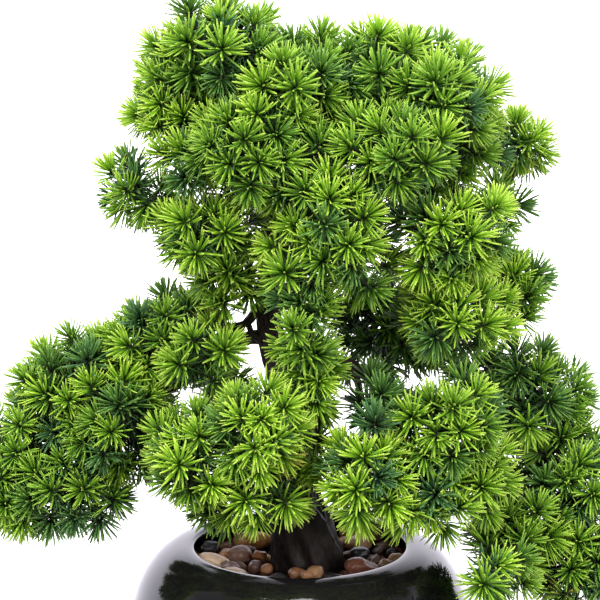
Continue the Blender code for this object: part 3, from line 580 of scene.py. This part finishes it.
def stones():
    rng = np.random.default_rng(41)
    cell, reach = 1.0, 92
    grid = np.arange(-reach, reach + 1) * cell
    gx, gy = np.meshgrid(grid, grid, indexing="ij")
    radius = np.hypot(gx, gy)
    floor = 85.0 + 0.0 * gx
    floor[np.hypot(gx - 3.0, gy) < 22.5] = 400.0
    for cx, cy in ((38.5, -24), (-38, -34), (-31, 40), (38, 34)):
        floor[np.hypot(gx - cx, gy - cy) < 8.5] = 400.0
    for (cx, cy), half, _, _ in SHOWN:
        floor[np.hypot(gx - cx, gy - cy) < 0.8 * half[0]] = 400.0
    limit = np.interp(radius, [0, 60, 66, 80, 90], [200, 200, 200, 200, 200])
    placed = []
    fixed = [((38.5, -24), (11.2, 8.0, 7.0), 10, (0.150, 0.055, 0.036)), ((-38, -34), (10.5, 7.0, 5.4), -35, (0.40, 0.29, 0.20)),
             ((-31, 40), (12.0, 7.5, 5.8), 15, (0.50, 0.25, 0.10)), ((38, 34), (9.5, 8.0, 5.4), 60, (0.40, 0.25, 0.135))]
    for number in range(230):
        big = number < 150
        half = np.array([rng.uniform(6.5, 10.0), rng.uniform(5.0, 7.2), rng.uniform(3.2, 4.8)]) if big else \
            np.array([rng.uniform(4.0, 6.5), rng.uniform(3.2, 5.0), rng.uniform(2.4, 3.6)])
        shape = stone_shape(rng, half, rng.uniform(0, 90))
        shape = shape @ turn_matrix(rng.uniform(0, 6.28), rng.uniform(-0.35, 0.35), rng.uniform(-0.4, 0.4)).T
        best = None
        for _ in range(26):
            r = math.sqrt(rng.uniform(22.0 ** 2, 84.0 ** 2))
            a = rng.uniform(0, 6.2832)
            x, y = r * math.cos(a) + 1.5, r * math.sin(a)
            if math.hypot(x, y) > 84 - half[0] * 0.6:
                continue
            px = np.clip(np.round((shape[:, 0] + x) / cell).astype(int) + reach, 0, 2 * reach)
            py = np.clip(np.round((shape[:, 1] + y) / cell).astype(int) + reach, 0, 2 * reach)
            under = shape[:, 2] < 0
            rest = np.max(floor[px[under], py[under]] - shape[under, 2])
            if best is None or rest < best[0]:
                best = (rest, x, y, px, py)
        if best is None:
            continue
        rest, x, y, px, py = best
        top = rest + shape[:, 2].max()
        reach_r = math.hypot(x, y)
        roof = 101.5 if reach_r < 60 else np.interp(reach_r, [60, 70, 84], [100.0, 98.0, 92.5])
        if top > roof:
            continue
        upper = shape[:, 2] >= 0
        np.maximum.at(floor, (px[upper], py[upper]), rest + shape[upper, 2] - 0.6)
        placed.append((shape + (x, y, rest), TINT_POOL[rng.integers(len(TINT_POOL))], rng.uniform(0.95, 1.6)))
    for (x, y), half, turn, tint in SHOWN:
        shape = stone_shape(rng, half, rng.uniform(0, 90)) @ turn_matrix(math.radians(turn), 0.08, 0.05).T
        placed.append((shape + (x, y, 102.8 - half[2]), (tint, 0.4), 1.0))
    loose = []
    for (x, y), half, turn, tint in fixed:
        shape = stone_shape(rng, half, rng.uniform(0, 90)) @ turn_matrix(math.radians(turn), 0.06, -0.05).T
        loose.append((shape + (x, y, 91.9 + half[2]), (tint, 0.5), 1.0))
    return placed, loose


def stone_object(name, group):
    verts = np.vstack([g[0] for g in group])
    tris = np.vstack([ICO_T + i * len(ICO_V) for i in range(len(group))])
    obj = mesh_object(name, verts * MM, (), tris, materials=[STONE])
    layer = obj.data.attributes.new("stone_tint", "FLOAT_COLOR", "POINT")
    tint = np.vstack([np.tile((*(np.array(t[0]) * k), t[1]), (len(ICO_V), 1)) for _, t, k in group])
    layer.data.foreach_set("color", tint.astype(np.float32).ravel())
    return obj


laid, loose = stones()
stone_bed = stone_object("stone_bed", laid)
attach(stone_bed, "root")
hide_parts("pebble_bed")
for node_name, one in zip(("pebble_front_right", "pebble_front_left", "pebble_back_left", "pebble_back_right"), loose):
    piece = stone_object(node_name.replace("pebble", "loose_stone"), [one])
    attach(piece, "root")
    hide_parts(node_name)
grit = lathe("grit_layer", [(0.0, 86.0), (88.0, 86.0), (92.0, 84.5), (92.8, 80.5), (0.0, 80.5)], 96, SOIL)
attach(grit, "root")


# ------------------------------------------------------------------ trunk
def trunk_piece():
    rows = [(*p, r) for p, r in TRUNK]
    line = smooth_path(rows, 1.6)
    path, radius = line[:, :3], line[:, 3]
    sides = 72
    swell = np.array([noise.noise(Vector((0.0, 7.0, z * 0.045))) for z in path[:, 2]])
    radius = radius * (1.0 + 0.07 * swell)

    def shape(i, angle):
        z = path[i, 2]
        foot = np.clip((168.0 - z) / 60.0, 0.0, 1.0)
        out = np.ones(len(angle))
        for k, a in enumerate(angle):
            c, s = math.cos(a), math.sin(a)
            twist = a + 0.010 * (z - 80.0)
            cc, ss = math.cos(twist), math.sin(twist)
            rib = noise.fractal(Vector((2.6 * cc, 2.6 * ss, z * 0.012)), 0.7, 2.2, 3)
            fine = noise.fractal(Vector((7.0 * cc, 7.0 * ss, z * 0.055 + 9.0)), 0.8, 2.1, 3)
            knob = noise.noise(Vector((1.6 * c, 1.6 * s, z * 0.06 + 31.0)))
            out[k] = 1.0 + (0.16 * foot + 0.10) * rib + 0.045 * fine + (0.09 - 0.03 * foot) * knob
            ridge = abs(math.sin(3.5 * twist + 2.2 * rib))
            out[k] -= 0.055 * foot * (1.0 - ridge) ** 2
        return out

    return mesh_object("trunk_bark", tube_mesh(path, radius, sides, shape)[0] * MM,
                       *tube_mesh(path, radius, sides)[1:], materials=[BARK])


trunk = trunk_piece()
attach(trunk, "root")
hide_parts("trunk")


# ------------------------------------------------------------------ limbs and their skeletons
def skeleton(limb_name):
    """Rows of (x, y, z, radius) in mm for the limb's spine and twigs."""
    if limb_name == "trunk":
        return [smooth_path([(*p, r) for p, r in TRUNK[12:]], 3.0)]
    body, start, spine, twigs = LIMBS[limb_name]
    first = [(*start, spine[0][1] * 1.35)] + [(*p, r) for p, r in spine]
    return [smooth_path(first, 3.0)] + [smooth_path([(*p, r) for p, r in twig], 3.0) for twig in twigs]


SKELETON = {name: skeleton(name) for name in list(LIMBS) + ["trunk"]}


def limb_piece(limb_name):
    body, start, spine, twigs = LIMBS[limb_name]
    rng = np.random.default_rng(sum(map(ord, limb_name)))
    parts = []
    for number, line in enumerate(SKELETON[limb_name]):
        path, radius = line[:, :3].copy(), line[:, 3].copy()
        count = len(path)
        seed = rng.uniform(0, 50)
        wander = np.array([[noise.noise(Vector((seed + j * 9.0, 0.0, k * 0.22))) for j in range(3)] for k in range(count)])
        ease = np.clip(np.minimum(np.arange(count), count - 1 - np.arange(count)) / 4.0, 0, 1)
        path += wander * 1.1 * ease[:, None]
        knots = np.array([noise.noise(Vector((seed, 3.0, k * 0.30))) for k in range(count)])
        radius = radius * (1.0 + 0.22 * knots)
        sides = 18 if number == 0 else 12

        def shape(i, angle, seed=seed):
            return np.array([1.0 + 0.14 * noise.fractal(Vector((2.2 * math.cos(a), 2.2 * math.sin(a), i * 0.16 + seed)), 0.8, 2.1, 3)
                             for a in angle])

        parts.append(tube_mesh(path, radius, sides, shape))
    verts, quads, tris = merge(parts)
    piece = mesh_object(limb_name.replace("limb_", "bark_"), verts * MM, quads, tris, materials=[BARK])
    if body == "root":
        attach(piece, "root")
    else:
        along = unit(np.array(spine[0][0], float) - np.array(start, float))
        bend = np.array(spine[0][0], float)
        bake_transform(piece)
    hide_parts(limb_name)
    return piece


for limb_name in LIMBS:
    limb_piece(limb_name)

# ------------------------------------------------------------------ needle tufts
RING_S = np.array([0.0, 0.38, 0.78, 1.0])
RING_W = np.array([0.62, 1.00, 1.00, 0.40])
DIAMOND = np.array([(1.0, 0.0), (0.0, 1.0), (-1.0, 0.0), (0.0, -1.0)])


def needles(base, along, side, length, width, bend, tone):
    """Every needle of a spray at once: flat tapered blades with blunt ends, in mm.  Returns verts, quads, uv."""
    n, rings = len(base), len(RING_S)
    s = RING_S[None, :, None]
    centre = base[:, None, :] + along[:, None, :] * (s * length[:, None, None]) + bend[:, None, :] * (s ** 2 * length[:, None, None])
    thick = unit(np.cross(along, side))
    half_w = (0.5 * width)[:, None] * RING_W[None, :]
    ring = (DIAMOND[None, None, :, :1] * side[:, None, None, :] * half_w[:, :, None, None]
            + DIAMOND[None, None, :, 1:] * thick[:, None, None, :] * (0.62 * half_w)[:, :, None, None])
    verts = (centre[:, :, None, :] + ring).reshape(-1, 3)
    i, k = np.meshgrid(np.arange(rings - 1), np.arange(4), indexing="ij")
    a, b = i * 4 + k, i * 4 + (k + 1) % 4
    one = np.stack([a, b, b + 4, a + 4], -1).reshape(-1, 4)
    one = np.vstack([one, [[3, 2, 1, 0]], [[rings * 4 - 4, rings * 4 - 3, rings * 4 - 2, rings * 4 - 1]]])
    quads = (one[None, :, :] + (np.arange(n) * rings * 4)[:, None, None]).reshape(-1, 4)
    v = np.broadcast_to((0.015 + 0.865 * RING_S)[None, :, None], (n, rings, 4))
    u = tone[:, None, None] + np.broadcast_to(np.array([-0.008, 0.008, -0.008, 0.008])[None, None, :], (n, rings, 4))
    return verts, quads, np.stack([np.clip(u, 0.001, 0.999), v], -1).reshape(-1, 2)


def across(axis):
    """Two unit vectors square to each axis."""
    helper = np.where(np.abs(axis[:, 2:3]) < 0.9, np.array([[0.0, 0.0, 1.0]]), np.array([[1.0, 0.0, 0.0]]))
    u = unit(np.cross(axis, helper))
    return u, np.cross(axis, u)


def tuft_needles(rng, centre, axis, size, tone, count):
    """One tuft: needles spread over a little more than half a sphere round its axis, rooted along a short shoot."""
    frac = (np.arange(count) + 0.5) / count
    top, low = math.cos(math.radians(4)), math.cos(math.radians(93))
    theta = np.arccos(top + (low - top) * frac ** 1.12) + rng.normal(0, 0.085, count)
    phi = np.arange(count) * 2.399963 + rng.uniform(0, 6.28) + rng.normal(0, 0.16, count)
    u, v = across(axis[None, :])
    flat = u * np.cos(phi)[:, None] + v * np.sin(phi)[:, None]
    along = axis[None, :] * np.cos(theta)[:, None] + flat * np.sin(theta)[:, None]
    along = unit(along + rng.normal(0, 0.05, (count, 3)))
    length = size * (0.76 + 0.24 * np.clip(np.sin(theta), 0, 1) ** 0.8) * rng.uniform(0.88, 1.06, count)
    base = centre + axis * (5.2 * np.cos(theta) - 2.2)[:, None] + flat * 0.6
    side = unit(np.cross(along, axis[None, :] + rng.normal(0, 0.25, (count, 3))))
    width = size / 15.5 * rng.uniform(1.32, 1.66, count)
    bend = axis[None, :] * (0.16 * np.sin(theta))[:, None] + rng.normal(0, 0.03, (count, 3))
    # needles pointing back into the tuft are painted darker: painted shade inside the tuft
    shade = np.clip(tone + rng.normal(0, 0.04, count) - 0.12 * np.clip(-np.cos(theta), 0, 1), 0.02, 0.90)
    if rng.uniform() < 0.010:
        shade = np.where(rng.uniform(0, 1, count) < 0.4, 0.985, shade)
    # nine old needles under the tuft, toned dark as painted shade beneath it
    old = 9
    back = rng.uniform(math.radians(95), math.radians(150), old)
    turn = rng.uniform(0, 6.28, old)
    old_flat = u * np.cos(turn)[:, None] + v * np.sin(turn)[:, None]
    old_along = unit(axis[None, :] * np.cos(back)[:, None] + old_flat * np.sin(back)[:, None] + np.array([[0, 0, -0.12]]))
    base = np.vstack([base, centre - axis * rng.uniform(2.0, 9.0, old)[:, None]])
    side = np.vstack([side, unit(np.cross(old_along, axis[None, :] + rng.normal(0, 0.4, (old, 3))))])
    along = np.vstack([along, old_along])
    length = np.append(length, size * rng.uniform(0.6, 0.95, old))
    width = np.append(width, rng.uniform(0.75, 1.05, old))
    bend = np.vstack([bend, rng.normal(0, 0.07, (old, 3)) + np.array([[0, 0, -0.05]])])
    shade = np.append(shade, np.clip(tone * 0.35 + rng.normal(0, 0.05, old), 0.02, 0.6))
    keep = rng.uniform(0, 1, count + old) > 0.05
    return base[keep], along[keep], side[keep], length[keep], width[keep], bend[keep], shade[keep]


ELLIPSOIDS = {
    "crown_left": ((-72, 0, 386), (32, 40, 47)), "crown_top_left": ((-46, -5, 417), (38, 44, 33)),
    "crown_top_mid": ((9, -8, 396), (32, 42, 34)), "crown_top_right": ((50, 0, 400), (36, 44, 32)),
    "crown_right": ((95, 5, 374), (29, 42, 42)), "crown_front_right": ((57, -55, 358), (38, 30, 32)),
    "crown_front_left": ((-29, -52, 366), (38, 30, 34)), "crown_back_left": ((-46, 68, 380), (52, 36, 42)),
    "crown_back_right": ((55, 70, 378), (52, 36, 42)), "centre_upper": ((20, -64, 313), (32, 26, 33)),
    "centre_lower": ((3, -60, 254), (19, 20, 36)), "mid_left_tip": ((-94, -5, 334), (27, 32, 22)),
    "mid_left_front": ((-56, -34, 309), (32, 30, 28)), "mid_left_back": ((-62, 42, 302), (32, 34, 26)),
    "mid_right_upper": ((87, -42, 312), (38, 34, 36)), "mid_right_lower": ((91, -26, 256), (38, 38, 34)),
    "mid_right_back": ((138, 56, 353), (28, 29, 21)), "mid_right_tip": ((131, 22, 268), (24, 32, 27)),
    "left_inner": ((-59, -28, 234), (27, 31, 31)), "left_upper": ((-88, 0, 240), (34, 40, 29)),
    "left_middle": ((-108, -20, 194), (34, 38, 36)), "left_outer": ((-147, 4, 204), (34, 40, 32)),
    "left_tip": ((-178, 0, 164), (34, 38, 38)), "left_low": ((-140, -12, 152), (34, 36, 27)),
    "left_back": ((-122, 66, 186), (48, 36, 36)), "front_left": ((-64, -60, 182), (32, 34, 34)),
    "front_centre": ((-26, -72, 200), (32, 30, 34)), "front_low": ((-20, -54, 160), (32, 30, 22)),
    "front_under": ((-50, -32, 144), (22, 26, 20)), "right_front": ((40, -78, 176), (26, 27, 31)),
    "right_dark": ((55, -38, 207), (28, 26, 26)), "right_middle": ((87, -58, 200), (34, 34, 32)),
    "right_low": ((77, -58, 156), (36, 32, 28)), "cascade_top": ((148, 32, 192), (40, 42, 32)),
    "cascade_mid": ((172, 20, 148), (36, 42, 36)), "cascade_low": ((134, 0, 116), (32, 36, 32)),
    "cascade_tip": ((176, 14, 92), (36, 38, 36)), "back_upper": ((14, 82, 300), (52, 32, 36)),
    "back_middle": ((62, 66, 232), (50, 34, 36)), "back_lower": ((-56, 76, 186), (28, 32, 30)),
}
NEEDLE = 15.5          # mm, a front needle's length
INSET = 10.0           # mm, tuft centre behind the foliage's outline
SPACING = 14.3         # mm, least distance between tufts of the outer layer
CLEAR = 16.5           # mm, least distance between tufts of different bodies at any limit
PARTING = 18.0         # mm, between tufts of different bodies
SOFTEN = 9.0           # mm, how far neighbouring clumps of one body run together

# more foliage of the same pieces, where it closes the gaps between their clumps: (spray, centre, half sizes)
FILLERS = [
    ("crown_top_mid", (-6, -38, 392), (30, 26, 28)), ("crown_front_left", (-4, -50, 350), (26, 24, 30)),
    ("centre_upper", (-6, -48, 322), (24, 22, 30)), ("centre_upper", (24, -48, 340), (30, 24, 24)),
    ("centre_lower", (-4, -50, 284), (22, 20, 30)), ("centre_lower", (1, -48, 262), (18, 20, 24)),
    ("centre_lower", (6, -52, 234), (22, 20, 26)), ("crown_left", (-66, -26, 352), (26, 26, 26)),
    ("crown_right", (84, -30, 388), (28, 28, 30)),
    ("crown_front_right", (80, -34, 346), (26, 24, 24)), ("crown_back_right", (72, 34, 336), (36, 28, 28)),
    ("crown_back_left", (-34, 36, 338), (34, 28, 30)), ("mid_right_upper", (84, -36, 326), (30, 28, 28)),
    ("mid_right_back", (122, 40, 316), (19, 26, 20)), ("mid_right_tip", (134, 18, 256), (22, 28, 22)),
    ("mid_left_tip", (-100, -4, 340), (20, 24, 18)), ("mid_left_front", (-44, -22, 284), (22, 24, 18)),
    ("left_upper", (-68, 0, 256), (22, 28, 18)), ("left_low", (-128, -14, 143), (22, 26, 19)),
    ("centre_upper", (36, -52, 290), (20, 20, 24)), ("cascade_top", (112, 22, 214), (26, 26, 22)),
    ("left_outer", (-124, -4, 226), (24, 30, 24)), 
    ("centre_lower", (-13, -42, 240), (17, 16, 20)), ("right_low", (93, -62, 130), (18, 18, 16)),
    ("left_middle", (-101, -18, 168), (23, 24, 18)),
    ("left_tip", (-170, -4, 141), (33, 32, 25)), ("cascade_top", (138, 26, 222), (22, 30, 21)),
    ("right_low", (108, -44, 166), (22, 24, 24)), ("right_front", (30, -74, 172), (24, 24, 28)),
    ("right_middle", (96, -46, 222), (26, 26, 22)), ("cascade_low", (111, -64, 113), (22, 20, 22)),
    ("cascade_low", (124, -34, 104), (26, 26, 24)), ("mid_right_lower", (98, -34, 238), (24, 26, 24)),
]


# open air left of the trunk, as seen from the front: (x, z) at the trunk's plane, half sizes
CLEARING = ((-26, 246), (19, 30))

# single tufts beside the gaps round the trunk: (spray, centre, axis, tone)
SINGLE = [
    ("centre_lower", (1.5, -48, 228), (0.1, -1.0, 0.25), 0.62), ("centre_lower", (9, -54, 213), (0.45, -0.9, -0.25), 0.70),
    ("centre_lower", (14, -44, 224), (0.7, -0.6, 0.3), 0.45), ("centre_lower", (12, -42, 206), (0.55, -0.6, -0.7), 0.40),
    ("centre_lower", (-7, -46, 244), (-0.3, -1.0, 0.3), 0.66), ("centre_lower", (-2, -50, 214), (-0.1, -1.0, -0.2), 0.58),
    ("left_inner", (-46, -26, 267), (-0.1, -0.9, 0.5), 0.62),
    ("mid_left_front", (-30, -20, 272), (-0.2, -0.9, -0.2), 0.50), ("centre_lower", (11, -45, 187), (0.25, -0.95, -0.2), 0.66),
    ("centre_lower", (9, -46, 170), (0.0, -0.9, -0.45), 0.76),
]


def distance(points, lobes):
    """Rough distance of each point from each ellipsoid's surface, less than 0 inside."""
    out = np.empty((len(points), len(lobes)))
    for k, (centre, half) in enumerate(lobes):
        rel = points - centre
        k0 = np.linalg.norm(rel / half, axis=1)
        k1 = np.maximum(np.linalg.norm(rel / half ** 2, axis=1), 1e-9)
        out[:, k] = k0 * (k0 - 1.0) / k1
    return out


def outline(points, lobes):
    """One soft outline round all of a body's clumps."""
    d = distance(points, lobes)
    low = d.min(1)
    return low - SOFTEN * np.log(np.exp(-(d - low[:, None]) / SOFTEN).sum(1)) * 0.6


def slope(points, lobes):
    steps = np.eye(3) * 0.5
    return unit(np.stack([outline(points + e, lobes) - outline(points - e, lobes) for e in steps], -1))


LOBES = [(name, np.array(c, float), np.array(h, float)) for name, (c, h) in ELLIPSOIDS.items()]
LOBES += [(name, np.array(c, float), np.array(h, float)) for name, c, h in FILLERS]


def fibonacci(count, turn):
    i = np.arange(count) + 0.5
    z = 1 - 2 * i / count
    phi = i * 2.399963 + turn
    r = np.sqrt(1 - z * z)
    return np.stack([r * np.cos(phi), r * np.sin(phi), z], -1)


def layer(rng, body, depth, spacing):
    """Evenly strewn points at a depth below a body's outline, with their normals and their sprays."""
    mine = [(c, h) for name, c, h in LOBES if BODY_OF[SPRAYS[name][0]] == body]
    names = [name for name, c, h in LOBES if BODY_OF[SPRAYS[name][0]] == body]
    others = [(c, h) for name, c, h in LOBES if BODY_OF[SPRAYS[name][0]] != body]
    cloud = []
    for centre, half in mine:
        reach = np.maximum(half - depth, 4.0)
        cloud.append(centre + fibonacci(420, rng.uniform(0, 6.28)) * reach)
    points = np.vstack(cloud)
    points += rng.normal(0, 1.0, points.shape)
    for _ in range(6):
        points = points - slope(points, mine) * (outline(points, mine) + depth)[:, None] * 0.8
    good = np.abs(outline(points, mine) + depth) < 2.5
    good &= distance(points, others).min(1) - distance(points, mine).min(1) > PARTING
    points = points[good]
    points = points[rng.permutation(len(points))]
    kept = np.empty((0, 3))
    for p in points:
        if len(kept) == 0 or np.min(np.linalg.norm(kept - p, axis=1)) > spacing:
            kept = np.vstack([kept, p])
    normals = slope(kept, mine)
    nearest = np.argmin(distance(kept, mine), axis=1)
    return kept, normals, [names[i] for i in nearest]


def strew():
    """Every tuft: body, spray, centre, axis, tone, size and number of needles."""
    found = []
    for number, body in enumerate(dict.fromkeys(BODY_OF[limb] for limb, _ in SPRAYS.values())):
        rng = np.random.default_rng(500 + number)
        points, normals, names = layer(rng, body, INSET, SPACING)
        for p, n, name in zip(points, normals, names):
            p = p + n * (rng.uniform(-7.0, 2.0) + 5.0 * noise.noise(Vector(p * 0.033)))
            stray = rng.uniform() < 0.09
            if stray:
                p = p + n * rng.uniform(4.0, 8.0)
            out = unit(np.array([p[0], p[1], 0.0]) + 1e-6)
            axis = unit(n * (1.5 if stray else 1.0) + np.array([0, 0, 0.42]) + 0.15 * out + rng.normal(0, 0.27, 3))
            # tufts facing up are painted lighter and those facing down darker: painted light from above
            tone = SPRAYS[name][1] + 0.10 * axis[2] - 0.05 + rng.normal(0, 0.15)
            if rng.uniform() < 0.10:
                tone = rng.uniform(0.08, 0.30)
            found.append((body, name, p, axis, np.clip(tone, 0.05, 0.90), NEEDLE * rng.uniform(0.84, 1.08), 47))
        # a second layer of tufts deeper in the foliage, toned dark: painted shade in the depth of the foliage
        points, normals, names = layer(rng, body, 20.0, 15.5)
        for p, n, name in zip(points, normals, names):
            axis = unit(n + np.array([0, 0, 0.3]) + rng.normal(0, 0.3, 3))
            tone = SPRAYS[name][1] * 0.34 + rng.normal(0, 0.08)
            found.append((body, name, p, axis, np.clip(tone, 0.03, 0.5), NEEDLE * 1.05, 36))
    (cx, cz), (hx, hz) = CLEARING
    near = [1300.0 / (1300.0 + row[2][1]) for row in found]
    found = [row for row, k in zip(found, near)
             if ((row[2][0] * k - cx) / hx) ** 2 + ((523.0 + (row[2][2] - 523.0) * k - cz) / hz) ** 2 > 1.0]
    rng = np.random.default_rng(77)
    for name, centre, axis, tone in SINGLE:
        body = BODY_OF[SPRAYS[name][0]]
        found.append((body, name, np.array(centre, float), unit(np.array(axis)), tone, NEEDLE * rng.uniform(0.96, 1.06), 47))
    return found


def bent(joints, points, body, end):
    """Points of a body at rest (0) or at the low (1) or high (2) limit of its joint."""
    if body not in joints or end == 0:
        return points
    pivot, axis, limits = joints[body]
    turn = np.array(Matrix.Rotation(math.radians(limits[end - 1]), 3, Vector(axis)))
    return (points - pivot) @ turn.T + pivot


def thin_out(tufts):
    """Drops the tufts that would be pushed through another body's, or through the bowl, at a joint's limit."""
    joints = {j["child"]: (np.array(j["pos_m"], float) / MM, j["axis"], j["range_deg"])
              for j in frame["record"]["behaviour"]["joints"]}
    bodies = np.array([t[0] for t in tufts])
    at = np.array([t[2] + t[3] * 4.0 for t in tufts])
    size = np.array([t[5] for t in tufts])
    gone = np.zeros(len(tufts), bool)
    wall = smooth_path([(x, 0, z) for x, z in POT_OUTER], 3.0)[:, [0, 2]]
    names = list(dict.fromkeys(bodies))
    placed = {(b, e): bent(joints, at[bodies == b], b, e) for b in names for e in range(3)}
    index = {b: np.flatnonzero(bodies == b) for b in names}
    for b in names:
        for e in range(3):
            p = placed[b, e]
            flat = np.stack([np.hypot(p[:, 0], p[:, 1]), p[:, 2]], -1)
            near = np.linalg.norm(flat[:, None, :] - wall[None, :, :], axis=2).min(1)
            gone[index[b][near < size[index[b]] + 0.5]] = True
    for i, a in enumerate(names):
        for b in names[i + 1:]:
            for ends in ((0, 1), (0, 2), (1, 0), (2, 0), (1, 1), (2, 2), (1, 2), (2, 1)):
                gap = np.linalg.norm(placed[a, ends[0]][:, None, :] - placed[b, ends[1]][None, :, :], axis=2)
                for m, n in zip(*np.nonzero(gap < CLEAR)):
                    m, n = index[a][m], index[b][n]
                    if not gone[m] and not gone[n] and max(m, n) < len(tufts) - len(SINGLE):
                        gone[m if at[m][1] > at[n][1] else n] = True
    print("THINNED", int(gone.sum()), "of", len(tufts))
    return [t for t, g in zip(tufts, gone) if not g]


def stem(a, b, axis, thick):
    """A thin twig from the limb to a tuft, arriving along the tuft's axis."""
    gap = np.linalg.norm(b - a)
    c1 = a + (b - a) * 0.35
    c2 = b - axis * min(10.0, 0.45 * gap)
    t = np.linspace(0, 1, max(4, int(gap / 5.0) + 2))[:, None]
    path = (1 - t) ** 3 * a + 3 * (1 - t) ** 2 * t * c1 + 3 * (1 - t) * t ** 2 * c2 + t ** 3 * b
    return tube_mesh(path, np.linspace(thick, 0.75, len(path)), 6)


def spray_piece(name, layout):
    limb_name, tone = SPRAYS[name]
    rng = np.random.default_rng(1000 + sum(ord(c) * (i + 3) for i, c in enumerate(name)))
    rows = [tuft_needles(rng, p, a, size, t, count) for p, a, t, size, count in layout]
    verts, quads, uv = needles(*[np.concatenate([row[k] for row in rows]) for k in range(7)])
    bones = np.vstack(SKELETON[limb_name])[:, :3]
    centre = np.array(ELLIPSOIDS[name][0], float)
    close = bones[np.argsort(np.linalg.norm(bones - centre, axis=1))[:14]]
    stems = []
    for point, axis, *_ in layout:
        away = np.linalg.norm(close - (point - axis * 8.0), axis=1)
        stems.append(stem(close[np.argmin(away)], point + axis * 1.5, axis, 1.25))
    sv, sq, st = merge(stems)
    share = np.linspace(0.05, 0.95, len(sv))
    suv = np.stack([share, 0.945 + 0.03 * np.cos(np.arange(len(sv)) * 1.9)], -1)
    obj = mesh_object("tufts_" + name, np.vstack([verts, sv]) * MM, np.vstack([quads, sq + len(verts)]), st + len(verts),
                      uv=np.vstack([uv, suv]), materials=[NEEDLES])
    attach(obj, BODY_OF[limb_name])
    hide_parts("spray_" + name)
    return len(layout)


LAYOUT = {name: [] for name in SPRAYS}
for body, name, *rest in thin_out(strew()):
    LAYOUT[name].append(rest)
print("TUFTS", sum(spray_piece(name, LAYOUT[name]) for name in SPRAYS), min(len(rows) for rows in LAYOUT.values()))

# ------------------------------------------------------------------ floor and light
floor = lathe("floor", [(0.0, 0.0), (14000.0, 0.0), (14000.0, -10.0), (0.0, -10.0)], 64, FLOOR)
floor.location.z = -0.0002
floor.visible_diffuse = False
floor.visible_glossy = False       # the glaze mirrors the soft studio round it, not the floor


def area_light(name, place, target, size, power, gloss_only=False):
    data = bpy.data.lights.new(name, "AREA")
    data.shape = "RECTANGLE"
    data.size, data.size_y = size
    data.energy = power
    lamp = bpy.data.objects.new(name, data)
    lamp.location = place
    lamp.rotation_euler = (Vector(target) - Vector(place)).to_track_quat("-Z", "Y").to_euler()
    lamp.visible_camera = False
    lamp.visible_diffuse = not gloss_only
    ROOT_COLLECTION.objects.link(lamp)


area_light("key", (-1.35, -2.00, 2.50), (0, 0, 0.25), (1.5, 1.5), 100.0)
area_light("fill", (2.00, -2.1, 1.2), (0, 0, 0.2), (1.8, 1.8), 66.0)
area_light("top", (0.1, 0.5, 3.1), (0, 0, 0.2), (2.0, 2.0), 78.0)

world = bpy.data.worlds.new("studio")
SCENE.world = world
world.use_nodes = True
wt = world.node_tree
background = wt.nodes["Background"]
split = wt.nodes.new("ShaderNodeSeparateXYZ")
wt.links.new(wt.nodes.new("ShaderNodeTexCoord").outputs["Generated"], split.inputs["Vector"])


def world_span(socket, low, high, to_low, to_high):
    made = wt.nodes.new("ShaderNodeMapRange")
    wt.links.new(split.outputs[socket], made.inputs["Value"])
    for key, value in zip(("From Min", "From Max", "To Min", "To Max"), (low, high, to_low, to_high)):
        made.inputs[key].default_value = value
    return made.outputs["Result"]


def world_maths(operation, a, b):
    made = wt.nodes.new("ShaderNodeMath")
    made.operation = operation
    for socket, value in zip(made.inputs, (a, b)):
        if isinstance(value, float):
            socket.default_value = value
        else:
            wt.links.new(value, socket)
    return made.outputs["Value"]


def world_pick(factor, a, b):
    made = wt.nodes.new("ShaderNodeMix")
    made.data_type = "FLOAT"
    wt.links.new(factor, made.inputs["Factor"])
    for key, value in (("A", a), ("B", b)):
        if isinstance(value, float):
            made.inputs[key].default_value = value
        else:
            wt.links.new(value, made.inputs[key])
    return made.outputs["Result"]


soft = world_maths("MULTIPLY", world_span("Y", -0.5, 0.4, 0.62, 1.0), world_span("Z", -0.25, 0.05, 0.62, 1.0))
low_behind = world_maths("MULTIPLY", world_span("Y", -0.15, 0.55, 0.0, 1.0), world_span("Z", 0.30, 0.62, 1.0, 0.12))
shine = world_maths("ADD", world_maths("MULTIPLY", low_behind, 1.75), 0.16)
ray = wt.nodes.new("ShaderNodeLightPath")
strength = world_pick(ray.outputs["Is Glossy Ray"], soft, shine)
strength = world_pick(ray.outputs["Is Camera Ray"], strength, 1.0)
wt.links.new(strength, background.inputs["Strength"])
tint = wt.nodes.new("ShaderNodeMix")
tint.data_type = "RGBA"
wt.links.new(ray.outputs["Is Glossy Ray"], tint.inputs["Factor"])
tint.inputs["A"].default_value = (1.0, 1.0, 1.0, 1.0)
tint.inputs["B"].default_value = (0.92, 0.89, 1.0, 1.0)
wt.links.new(tint.outputs["Result"], background.inputs["Color"])
